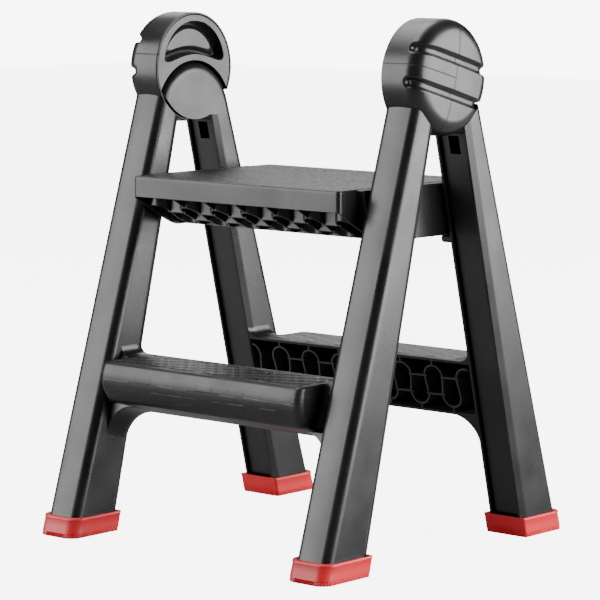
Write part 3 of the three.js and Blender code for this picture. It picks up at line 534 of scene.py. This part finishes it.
# The same polypropylene with a lighter base colour, a painted highlight: it stands in for the light that the
# thin walls' edges catch in the deep dark hollow
rib_plastic_painted_highlight = plastic("charcoal_rib_painted_highlight", "#2e2f31", "#3a3b3d", 0.30, 0.9, 0.03)
for facing, end in ENDS:
    pattern = (LEG_X[0], TREAD_LOW + TREAD_WALL, TREAD_TOP - TREAD_WALL, RIB_SHIFT)
    walls = [ribbon(line, low_rib_edges)[:, :, [0, 2, 1]] * [1, facing, 1]
             for line in [snake(*pattern)] + ties(*pattern)]
    # the ribs get the lighter material, whose base colour is a painted highlight
    join_lofts(f"tread_ribs_{end}", walls, rib_plastic_painted_highlight, f"{end}_frame", "charcoal", sharp=50)

# ---- Top tread ---------------------------------------------------------------------------
# A separate moulding that turns on the front legs: a flat deck with a rolled edge, shallow skirts in
# front and behind, deep sides like a boat's between the legs, and thick pads where it bears.

deck_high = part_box("top_tread")[1]
DECK_Z = mm(deck_high[2])
DECK_REACH = mm(deck_high[1])
DECK_HALF = 159.3
DECK_CORNER = 5.0
DECK_SKIRT = 24.5             # depth of the skirts, in front and behind
DECK_DEPTH = 62.0             # depth of the sides
KEEL = 50.0                   # the underside is flat as far as this, in front and behind
DECK_NOSE = 2.5
DECK_WALL = 3.0
DECK_GRIP_PITCH = 5.0
DECK_GRIP_RISE = 0.4
DECK_GRIP_EDGE = 5.0
PAD_SPAN = (DECK_HALF - 2.0, mm(deck_high[0]))      # the bearing pads' place across the tread
PAD = [(-90, DECK_Z - 0.6), (-79, 377), (-45, 361), (82, 359.9), (90, DECK_Z - 0.6)]
CATCH_SPAN = (158.3, 164.3)   # the same for the catches behind the pegs
CATCH = [(81.4, 348.9), (89.4, 351.9), (93.4, 379.9), (81.4, 379.9)]
RIB_ROWS = 3
DECK_RIB_MARGIN = 17.0


def keel_z(y):
    """Height of the tread's underside at y: flat in the middle, then an almost even rise to the skirts."""
    t = np.clip((np.abs(y) - KEEL) / (DECK_REACH - KEEL), 0, 1)
    return DECK_Z - DECK_DEPTH + (DECK_DEPTH - DECK_SKIRT) * t ** 1.15


def joined(arcs, steps):
    """One closed loop: the arcs in turn, with straight runs of so many steps between them."""
    s = np.linspace(0, 1, steps)[1:-1, None]
    parts = []
    for this, following in zip(arcs, arcs[1:] + arcs[:1]):
        parts += [this, this[-1] * (1 - s) + following[0] * s]
    return np.concatenate(parts)


def deck_outline(inset):
    """A rectangle with round corners, drawn in by the inset."""
    r = max(DECK_CORNER - inset, 0.6)
    x, y = DECK_HALF - inset - r, DECK_REACH - inset - r
    corners = ((x, -y, -90), (x, y, 0), (-x, y, 90), (-x, -y, 180))
    return joined([arc(cx, cy, r, start, start + 90, 8) for cx, cy, start in corners], 32)


def deck_surface():
    """Rows from the deck's middle over the rolled edge, down the wall, round its lip and back inside."""
    edge = deck_outline(0.0)
    rows = []
    for share in np.linspace(0, 1, 10)[:-1]:
        rows.append((deck_outline(DECK_NOSE) * share, DECK_Z))
    for turn in np.radians(np.linspace(90, 0, 7)):
        in_by, down_by = DECK_NOSE * (1 - math.cos(turn)), DECK_NOSE * (1 - math.sin(turn))
        rows.append((deck_outline(in_by), DECK_Z - down_by))
    low = keel_z(edge[:, 1])
    start = DECK_Z - DECK_NOSE
    for share in np.linspace(0, 1, 12)[1:]:
        rows.append((edge, start + (low - start) * share))
    inner = deck_outline(DECK_WALL)
    rows.append((inner, low))
    for share in np.linspace(0, 1, 6)[1:]:
        rows.append((inner, low + (DECK_Z - DECK_WALL - low) * share))
    for share in np.linspace(1, 0, 6)[1:]:
        rows.append((inner * share, DECK_Z - DECK_WALL))
    ones = np.ones(len(edge))
    return np.stack([np.column_stack([plan, z * ones]) for plan, z in rows])


def grain_relief(tree, place):
    """Short wavy ridges of the anti-slip deck, about 3 mm apart, on the top face only."""
    stretched = node(tree, "ShaderNodeMapping", inputs={"Vector": place, "Scale": (1.0, 3.0, 1.0)})
    waves = node(tree, "ShaderNodeTexNoise", inputs={
        "Vector": stretched.outputs["Vector"], "Scale": 1 / (8 * MM), "Detail": 2.0, "Distortion": 1.2})
    split = node(tree, "ShaderNodeSeparateXYZ", inputs={"Vector": place})
    top = node(tree, "ShaderNodeMapRange", inputs={
        "Value": split.outputs["Z"], "From Min": (DECK_Z - 1.0) * MM, "From Max": (DECK_Z - 0.2) * MM,
        "To Min": 0.0, "To Max": 2.2})
    return node(tree, "ShaderNodeMath", {"operation": "MULTIPLY"}, {
        0: waves.outputs["Fac"], 1: top.outputs["Result"]}).outputs[0]


def slab(outline, span, side):
    """An outline in (y, z) at both ends of its span across the tread: two loops of a straight block."""
    outline, x = np.array(outline), side * np.array(span)
    return np.stack([np.column_stack([np.full(len(outline), at), outline]) for at in x])


def deck_rib_edges(plan):
    """The tread's ribs reach from just above its underside into its top plate."""
    return keel_z(plan[:, 1]) + 1.0, np.full(len(plan), DECK_Z - 2.0)


# The same polypropylene, with the deck's fine anti-slip texture, drawn deep enough to show
deck_plastic = plastic("charcoal_deck", "#101112", "#161718", 0.34, 0.9, 0.05, grain_relief)
surface = deck_surface()
piece("top_deck", surface, quads(surface.shape[0], surface.shape[1], True).tolist(), deck_plastic,
      "top_tread", "charcoal", ["top_tread"], bevel=0.5)

reach = DECK_REACH - DECK_GRIP_EDGE
field = grip_field(DECK_HALF - DECK_GRIP_EDGE, -reach, reach, DECK_Z, DECK_GRIP_PITCH, DECK_GRIP_RISE, 220)
mat("deck_grip", field, deck_plastic, "top_tread", "charcoal")

for side, hand in SIDES:
    loft(f"bearing_pad_{hand}", slab(PAD, PAD_SPAN, side), charcoal, "top_tread", "charcoal", bevel=1.5)
    loft(f"peg_catch_{hand}", slab(CATCH, CATCH_SPAN, side), charcoal, "top_tread", "charcoal", bevel=1.0)

row_depth = 2 * (DECK_REACH - DECK_WALL) / RIB_ROWS
walls = []
for row in range(RIB_ROWS):
    start = -DECK_REACH + DECK_WALL + row * row_depth
    pattern = (start, start + row_depth, 0, DECK_RIB_MARGIN)
    for line in [snake(DECK_HALF - 2, *pattern)] + ties(DECK_HALF, *pattern):
        walls.append(ribbon(line, deck_rib_edges))
    if row:
        across = np.array([[-DECK_HALF + 2, start], [DECK_HALF - 2, start]])
        walls.append(ribbon(across, deck_rib_edges))
join_lofts("deck_ribs", walls, charcoal, "top_tread", "charcoal", sharp=50)

# ---- Grip caps ---------------------------------------------------------------------------
# Round polypropylene housings over the hinges, pressed on from outside: a drum with a broad rounded
# shoulder and a slightly domed face, crossed by two finger grooves that end in the drum.

CAP_X = (mm(cap_low[0]), mm(cap_high[0]))
CAP_DOME = 1.2
CAP_WALL = 3.0
CAP_RIM = 0.8                 # rounding of the inner rim
CAP_FLOOR = 12.0              # the inside of the face lies this far in
CAP_SLOPE = (22.0, 30.0)      # inside, the face runs off to the wall from here in r to here in x
GROOVE_WIDTH = 11.0
GROOVE_DEPTH = 5.0
GROOVE_SPREAD = 20.0
GROOVE_LEAN = math.radians(15.3)
GROOVE_END = 206.0
GROOVE_EASE = (3.5, 1.2)      # its edge rounds off from inside to outside its half width
PIT = 0.15                    # in front, a groove's end is deeper by this share
NOTCH_R = 64.7                # the drum is cut away around the rear leg's head
NOTCH_X = 196.0
NOTCH_END = -14.0


def smooth(value, low, high):
    """0 below low, 1 above high, and a smooth S between."""
    t = np.clip((value - low) / (high - low), 0, 1)
    return t * t * (3 - 2 * t)


def cap_surface(side):
    """Profile (r, x) turned about the housing's axis; grooves push the skin in along its normal, by a
    depth that depends on the distance from each groove's centre line."""
    inner, face = CAP_X
    wall = HOUSING_R - CAP_WALL
    drum = np.stack([np.full(38, HOUSING_R), np.linspace(inner + CAP_RIM, SHOULDER_X, 38)], axis=1)
    shoulder = arc(HOUSING_R - SHOULDER, SHOULDER_X, SHOULDER, 0, 90, 36)[1:]
    r = np.linspace(HOUSING_R - SHOULDER, 0, 48)[1:]
    dome = np.stack([r, face + CAP_DOME * (1 - (r / (HOUSING_R - SHOULDER)) ** 2)], axis=1)
    rim = np.array([[wall, inner + CAP_RIM], [wall + CAP_RIM, inner], [HOUSING_R - CAP_RIM, inner]])
    deep = np.array([[0, face - CAP_FLOOR], [HOUSING_R - CAP_SLOPE[0], face - CAP_FLOOR],
                     [wall, face - CAP_SLOPE[1]]])
    profile = np.concatenate([deep, rim, drum, shoulder, dome])
    inside = len(deep) + len(rim)
    tilt = np.radians(np.linspace(0, 90, 36))[1:]
    normal_r = np.concatenate([np.zeros(inside), np.ones(len(drum)), np.cos(tilt), np.zeros(len(dome))])
    normal_x = np.concatenate([np.zeros(inside), np.zeros(len(drum)), np.sin(tilt), np.ones(len(dome))])
    turn = np.linspace(0, 2 * np.pi, 480, endpoint=False)[None, :]
    r, x = profile[:, :1], profile[:, 1:]
    y, z = r * np.cos(turn), r * np.sin(turn)
    push = np.zeros_like(y)
    for offset in (-GROOVE_SPREAD, GROOVE_SPREAD):
        across = z * math.cos(GROOVE_LEAN) + y * math.sin(GROOVE_LEAN) - offset
        short = np.maximum(GROOVE_END + GROOVE_WIDTH / 2 - x, 0)
        away = np.hypot(across, short)
        pit = 1 + PIT * (1 - smooth(x, GROOVE_END + 2, GROOVE_END + 10)) * (y < 0)
        edge = smooth(away, GROOVE_WIDTH / 2 - GROOVE_EASE[0], GROOVE_WIDTH / 2 + GROOVE_EASE[1])
        push = np.maximum(push, pit * (1 - edge))
    skin = (np.arange(len(profile)) >= inside)[:, None]
    push = GROOVE_DEPTH * push * skin
    reach = np.maximum(r - push * normal_r[:, None], 0)
    x = x - push * normal_x[:, None] + 0 * turn
    y, z = reach * np.cos(turn), HOUSING_Z + reach * np.sin(turn)
    notch = (np.hypot(y, z - HINGE_Z) < NOTCH_R) & (y > NOTCH_END)
    return np.stack([side * np.where(notch, np.maximum(x, NOTCH_X), x), y, z], axis=-1)


SEAM_LEAN = 0.267             # the cross line drops by this much for each unit backwards
SEAM_BOW = (0.25, -1.6)       # the other line leans by the first and bows by the second, with z in m
FACE_FROM = 214.0             # the upright line runs only outside this x


def seam_relief(tree, place):
    """Fine parting lines in mm: one runs down the face in a slight bow, the other from the middle of
    the face forwards and square across the drum. Each is a groove along a curve's zero line."""
    split = node(tree, "ShaderNodeSeparateXYZ", inputs={"Vector": place})
    y, z = split.outputs["Y"], split.outputs["Z"]
    up = node(tree, "ShaderNodeMath", {"operation": "SUBTRACT"}, {0: z, 1: HOUSING_Z * MM}).outputs[0]
    bow = node(tree, "ShaderNodeMath", {"operation": "MULTIPLY_ADD"}, {
        0: up, 1: SEAM_BOW[1], 2: SEAM_BOW[0]}).outputs[0]
    line = node(tree, "ShaderNodeMath", {"operation": "MULTIPLY"}, {0: up, 1: bow}).outputs[0]
    down = node(tree, "ShaderNodeMath", {"operation": "SUBTRACT"}, {0: y, 1: line}).outputs[0]
    along = node(tree, "ShaderNodeMath", {"operation": "MULTIPLY_ADD"}, {
        0: y, 1: SEAM_LEAN, 2: up}).outputs[0]
    grooves = []
    for distance in (down, along):
        size = node(tree, "ShaderNodeMath", {"operation": "ABSOLUTE"}, {0: distance}).outputs[0]
        grooves.append(node(tree, "ShaderNodeMapRange", inputs={
            "Value": size, "From Min": 0.25 * MM, "From Max": 0.7 * MM,
            "To Min": -0.5, "To Max": 0.0}).outputs["Result"])
    across = node(tree, "ShaderNodeMath", {"operation": "ABSOLUTE"}, {0: split.outputs["X"]}).outputs[0]
    on_face = node(tree, "ShaderNodeMath", {"operation": "GREATER_THAN"}, {
        0: across, 1: FACE_FROM * MM}).outputs[0]
    ahead = node(tree, "ShaderNodeMath", {"operation": "LESS_THAN"}, {0: down, 1: 0.0}).outputs[0]
    first = node(tree, "ShaderNodeMath", {"operation": "MULTIPLY"}, {0: grooves[0], 1: on_face}).outputs[0]
    second = node(tree, "ShaderNodeMath", {"operation": "MULTIPLY"}, {0: grooves[1], 1: ahead}).outputs[0]
    return node(tree, "ShaderNodeMath", {"operation": "MINIMUM"}, {0: first, 1: second}).outputs[0]


# The same polypropylene, with the housings' parting lines
cap_plastic = plastic("charcoal_cap", "#101112", "#161718", 0.31, 0.9, 0.05, seam_relief)
for side, hand in SIDES:
    surface = cap_surface(side)
    piece(f"cap_{hand}", surface, quads(surface.shape[0], surface.shape[1], True).tolist(), cap_plastic,
          "front_frame", "charcoal", [f"grip_cap_{hand}"], sharp=50)

# ---- Finger plates -----------------------------------------------------------------------
# A plate closes each housing on its inner side, above the rear leg's round head, with a crescent
# pocket for the fingers that carry the stool.

PLATE_X = 173.6
PLATE_R = HOUSING_R - CAP_WALL - 0.5
HEAD_R = mm(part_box("rear_frame")[1][2]) - HINGE_Z
HEAD_GAP = 3.5                # from the round head to the plate's lower arc
PLATE_BACK = 195.0            # x of its back, inside the housing
POCKET_OVER = (1.0, 548.0, 52.0)      # the crescent's upper circle: y, z and radius
POCKET_UNDER = (0.0, 476.3, 84.7)     # the flatter circle below it
POCKET_FOOT = 551.5           # z where the crescent's ends stop
POCKET_BLEND = 9.0            # over this distance the three borders run into each other
POCKET_WALL = (-3.5, 0.8)     # the wall rises between these distances from the border
POCKET_DEPTH = 14.0
POCKET_DOME = 5.0             # the pocket's floor rises by this much in its middle


def blended(first, second):
    """The larger of two distances, with the change from one to the other rounded off by a parabola."""
    mix = np.clip(0.5 + 0.5 * (first - second) / POCKET_BLEND, 0, 1)
    return second * (1 - mix) + first * mix + POCKET_BLEND * mix * (1 - mix)


def pocket(y, z):
    """Depth of the crescent at a point: inside a large circle, outside a flatter one below it and above
    its ends' foot, with the three distances blended. The floor rises again away from the walls."""
    outer = np.hypot(y - POCKET_OVER[0], z - POCKET_OVER[1]) - POCKET_OVER[2]
    under = POCKET_UNDER[2] - np.hypot(y - POCKET_UNDER[0], z - POCKET_UNDER[1])
    distance = blended(blended(outer, under), POCKET_FOOT - z)
    dome = POCKET_DOME * smooth(-distance, 3.0, 10.0)
    return POCKET_DEPTH * (1 - smooth(distance, *POCKET_WALL)) - dome


def plate_surface(side):
    """Loops across a closed plate, from one tip of the crescent to the other: a straight line from the
    arc over the head to the housing's wall, sunk by the pocket, and back along the flat inside."""
    gap_r = HEAD_R + HEAD_GAP
    tip_z = (gap_r ** 2 - PLATE_R ** 2 - HINGE_Z ** 2 + HOUSING_Z ** 2) / (2 * (HOUSING_Z - HINGE_Z))
    tip_y = math.sqrt(PLATE_R ** 2 - (tip_z - HOUSING_Z) ** 2)
    out_angle = math.atan2(tip_z - HOUSING_Z, tip_y)
    in_angle = math.atan2(tip_z - HINGE_Z, tip_y)
    turn = np.linspace(0, 1, 260)[None, :]
    outer = out_angle + (math.pi - 2 * out_angle) * turn
    inner = in_angle + (math.pi - 2 * in_angle) * turn
    oy, oz = PLATE_R * np.cos(outer), HOUSING_Z + PLATE_R * np.sin(outer)
    iy, iz = gap_r * np.cos(inner), HINGE_Z + gap_r * np.sin(inner)
    s = np.concatenate([[0, 0], np.linspace(0, 1, 110), [1, 1]])[:, None]
    y, z = iy * (1 - s) + oy * s, iz * (1 - s) + oz * s
    x = PLATE_X + pocket(y, z)
    x[0], x[-1] = PLATE_BACK, PLATE_BACK
    return np.stack([side * x, y, z], axis=-1).transpose(1, 0, 2)


for side, hand in SIDES:
    loft(f"plate_{hand}", plate_surface(side), charcoal, "front_frame", "charcoal", [f"finger_plate_{hand}"],
         sharp=45)

# ---- Rear heads --------------------------------------------------------------------------
# The round end of each rear leg, which turns on the hinge pin inside the housing. Its flat face is
# flush with the leg's inner side and rolls over at its rim.

HEAD_X = (169.8, 194.5)
HEAD_RIM = HEAD_R + 1.0
LENS_R = 62.6                 # in front the head ends at this circle about the housing's middle
FACE_REACH = 63.0             # from the hinge to the leg's outer face
FACE_TURN = 17.1              # degrees, the direction square to that face
LEG_FROM = -3.0               # degrees, from here up to there the leg's face bounds the head


def head_surface(side):
    """Polar grid about the hinge. In front its reach is the ray to the housing circle, behind it is the
    head's radius, and below that the line of the leg's outer face; the rim rolls over like the leg's
    corners, by the distance to the round edge or that line."""
    turn = np.linspace(-np.pi, np.pi, 300, endpoint=False)[None, :]
    degrees = np.degrees(turn)
    rise = HOUSING_Z - HINGE_Z
    ray = rise * np.sin(turn) + np.sqrt(np.maximum(LENS_R ** 2 - (rise * np.cos(turn)) ** 2, 0))
    off_face = np.radians(degrees - FACE_TURN)
    beside_leg = (degrees > LEG_FROM) & (degrees < FACE_TURN)
    behind = (degrees >= FACE_TURN) & (degrees < 90)
    line = FACE_REACH / np.maximum(np.cos(off_face), 0.2)
    reach = np.where(beside_leg, line, np.where(behind, HEAD_RIM, np.minimum(HEAD_RIM, ray)))
    s = np.concatenate([np.linspace(0, 0.7, 8), np.linspace(0.7, 1, 30)[1:], [1.0, 0.0]])[:, None]
    r = reach * s
    edge = np.where(beside_leg, FACE_REACH - r * np.cos(off_face), HEAD_RIM - r)
    roll = np.clip(1 - edge / LEG_CORNER, 0, 0.999)
    x = HEAD_X[0] + LEG_CORNER * (1 - np.sqrt(1 - roll ** 2))
    x[-2], x[-1] = HEAD_X[1], HEAD_X[1]
    return np.stack([side * x, r * np.cos(turn), HINGE_Z + r * np.sin(turn)], axis=-1)


for side, hand in SIDES:
    surface = head_surface(side)
    piece(f"rear_head_{hand}", surface, quads(surface.shape[0], surface.shape[1], True).tolist(), charcoal,
          "rear_frame", "charcoal", sharp=50)

# ---- Foot caps ---------------------------------------------------------------------------
# Red thermoplastic rubber shoes pushed over the legs, with a thin lip on top and a serrated sole.

FOOT_Z = mm(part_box("foot_cap_front_right")[1][2])
FOOT_OUT = 5.0
FOOT_OPEN = 3.0               # it stands out by no more than this on the leg's open side
FOOT_CORNER = 16.0
FOOT_SMALL = 3.0              # corner radius on the open side
# how far the shoe stands out from the leg, and at what height, from under the sole over wall and lip
SHOE = [(-18, 0.0), (3.6, 0.0), (4.3, 0.25), (4.6, 0.9), (4.6, 4.6), (FOOT_OUT, 5.2), (FOOT_OUT, 12),
        (FOOT_OUT, FOOT_Z - 3.2), (5.15, FOOT_Z - 2.9), (5.5, FOOT_Z - 2.6), (5.5, FOOT_Z - 0.8),
        (5.1, FOOT_Z - 0.2), (4.4, FOOT_Z), (1.2, FOOT_Z), (0.3, FOOT_Z - 0.6), (0.3, 15.0)]
TEETH = 0.016                 # the sole's edge is notched by this share of its reach
TEETH_Z = (0.1, 5.0)


def foot_loop(grow, corner):
    """The shoe's outline in (x, depth), grown outwards from the leg's own."""
    low, high = LEG_X[0] - grow, LEG_X[1] + grow
    back, front = LEG_DEPTH + grow, -min(grow, FOOT_OPEN)
    small = FOOT_SMALL
    return joined([arc(low + small, front + small, small, 270, 180, 8),
                   arc(low + corner, back - corner, corner, 180, 90, 16),
                   arc(high - corner, back - corner, corner, 90, 0, 16),
                   arc(high - small, front + small, small, 0, -90, 8)], 40)


def foot_surface(side, facing):
    """Rows of the outline from under the sole, over the wall and its lip, to the leg's skin. Near the
    sole every second point is drawn towards the middle, which makes the teeth."""
    middle = np.array([sum(LEG_X), LEG_DEPTH]) / 2
    rows = []
    for grow, z in SHOE:
        loop = foot_loop(grow, FOOT_CORNER + min(grow - FOOT_OUT, 0) * 0.8)
        if TEETH_Z[0] < z < TEETH_Z[1]:
            tooth = np.abs(np.sin(np.arange(len(loop)) * np.pi / 2))[:, None]
            loop = middle + (loop - middle) * (1 - TEETH * tooth)
        start, slope = slope_of(loop[:, 1])
        y = facing * (start + slope * z)
        rows.append(np.column_stack([side * loop[:, 0], y, np.full(len(loop), z)]))
    return np.stack(rows)


# Red thermoplastic rubber: satin, softly glowing colour, a little dust in the grain
red_rubber = plastic("red_rubber", "#c0141f", "#cb1f2b", 0.42, 0.7, 0.03)
for side, hand in SIDES:
    for facing, end in ENDS:
        loft(f"shoe_{end}_{hand}", foot_surface(side, facing), red_rubber, f"{end}_frame", "red",
             [f"foot_cap_{end}_{hand}"], sharp=40)

# ---- Carried-over parts ------------------------------------------------------------------
# Covers, hinge pins, washers, screws, pivots and pegs keep their modelled shapes and get their real
# finishes: dark sheet, zinc-plated steel and black nylon.

# Dark polypropylene sheet, moulded with a finer grain than the frames
cover_plastic = plastic("cover_polypropylene", "#111213", "#17181a", 0.48, 0.7, 0.04)
# Black glass-filled nylon, slightly waxy
nylon = plastic("black_nylon", "#161617", "#1e1e1f", 0.38, 0.6, 0.02)


def zinc_steel():
    """Bright zinc-plated steel with fine turning marks."""
    material = bpy.data.materials.new("zinc_plated_steel")
    material.use_nodes = True
    tree = material.node_tree
    tree.nodes.clear()
    place = node(tree, "ShaderNodeTexCoord").outputs["Object"]
    marks = node(tree, "ShaderNodeTexNoise", inputs={"Vector": place, "Scale": 900.0, "Detail": 3.0})
    gloss = node(tree, "ShaderNodeMapRange", inputs={
        "Value": marks.outputs["Fac"], "To Min": 0.25, "To Max": 0.45})
    shader = node(tree, "ShaderNodeBsdfPrincipled", inputs={
        "Base Color": linear("#b9bbbd"), "Metallic": 1.0, "Roughness": gloss.outputs["Result"]})
    node(tree, "ShaderNodeOutputMaterial", inputs={"Surface": shader.outputs["BSDF"]})
    return material


steel = zinc_steel()
FINISH = {"charcoal": charcoal, "cover": cover_plastic, "red": red_rubber, "nylon": nylon, "steel": steel}
for part in frame["record"]["subparts"]:
    made = frame["nodes"][part["node"]]
    made.data.materials.clear()
    made.data.materials.append(FINISH[part["material_slot"]])

# ---- Camera, light and floor -------------------------------------------------------------
# A plain pale floor and room, soft light from four boxes, and a long lens a little above the housings.
# Floor and room glow for the camera only: they look pale, and leave the dark plastic to the boxes.

camera_data = bpy.data.cameras.new("camera")
camera_data.lens = 179.6
camera_data.sensor_width = 36.0
camera_data.shift_x = 0.0187
camera_data.shift_y = 0.0007
camera = bpy.data.objects.new("camera", camera_data)
camera.location = (2.3036, -2.6335, 0.7106)
azimuth, elevation = math.radians(41.44), math.radians(7.08)
look = Vector((-math.sin(azimuth) * math.cos(elevation), math.cos(azimuth) * math.cos(elevation),
               -math.sin(elevation)))
camera.rotation_euler = look.to_track_quat("-Z", "Y").to_euler()
bpy.context.scene.collection.objects.link(camera)
bpy.context.scene.camera = camera

world = bpy.data.worlds.new("pale_room")
world.use_nodes = True
tree = world.node_tree
tree.nodes.clear()
seen = node(tree, "ShaderNodeLightPath").outputs["Is Camera Ray"]
dim = node(tree, "ShaderNodeBackground", inputs={"Color": linear("#ffffff"), "Strength": 0.04})
white = node(tree, "ShaderNodeBackground", inputs={"Color": linear("#ffffff"), "Strength": 8.0})
mixed = node(tree, "ShaderNodeMixShader", inputs={0: seen, 1: dim.outputs[0], 2: white.outputs[0]})
node(tree, "ShaderNodeOutputWorld", inputs={"Surface": mixed.outputs[0]})
bpy.context.scene.world = world


def softbox(name, place, aim, size, power):
    """A rectangular area light at a place, turned towards a point."""
    data = bpy.data.lights.new(name, "AREA")
    data.shape = "RECTANGLE"
    data.size, data.size_y = size
    data.energy = power
    light = bpy.data.objects.new(name, data)
    light.location = place
    light.rotation_euler = (Vector(aim) - Vector(place)).to_track_quat("-Z", "Y").to_euler()
    bpy.context.scene.collection.objects.link(light)


softbox("box_left", (-1.55, -1.75, 0.95), (0, 0, 0.3), (1.9, 1.9), 78)
softbox("box_right", (1.95, 0.95, 0.85), (0, 0, 0.4), (2.6, 1.7), 165)
softbox("box_top", (-0.7, -0.1, 2.3), (0, 0, 0.3), (2.8, 1.0), 58)
softbox("box_back", (-1.7, 1.95, 1.7), (0, 0, 0.4), (1.6, 1.2), 14)

floor_mesh = bpy.data.meshes.new("floor")
floor_mesh.from_pydata([(-9, -9, 0), (9, -9, 0), (9, 9, 0), (-9, 9, 0)], [], [(0, 1, 2, 3)])
floor = bpy.data.objects.new("floor", floor_mesh)
bpy.context.scene.collection.objects.link(floor)
paper = bpy.data.materials.new("studio_paper")
paper.use_nodes = True
tree = paper.node_tree
tree.nodes.clear()
matt = node(tree, "ShaderNodeBsdfDiffuse", inputs={"Color": linear("#8c8c8c")})
glow = node(tree, "ShaderNodeEmission", inputs={"Color": linear("#ffffff"), "Strength": 6.6})
seen = node(tree, "ShaderNodeLightPath").outputs["Is Camera Ray"]
none = node(tree, "ShaderNodeEmission", inputs={"Strength": 0.0})
lit = node(tree, "ShaderNodeMixShader", inputs={0: seen, 1: none.outputs[0], 2: glow.outputs[0]})
total = node(tree, "ShaderNodeAddShader", inputs={0: matt.outputs[0], 1: lit.outputs[0]})
node(tree, "ShaderNodeOutputMaterial", inputs={"Surface": total.outputs[0]})
floor_mesh.materials.append(paper)
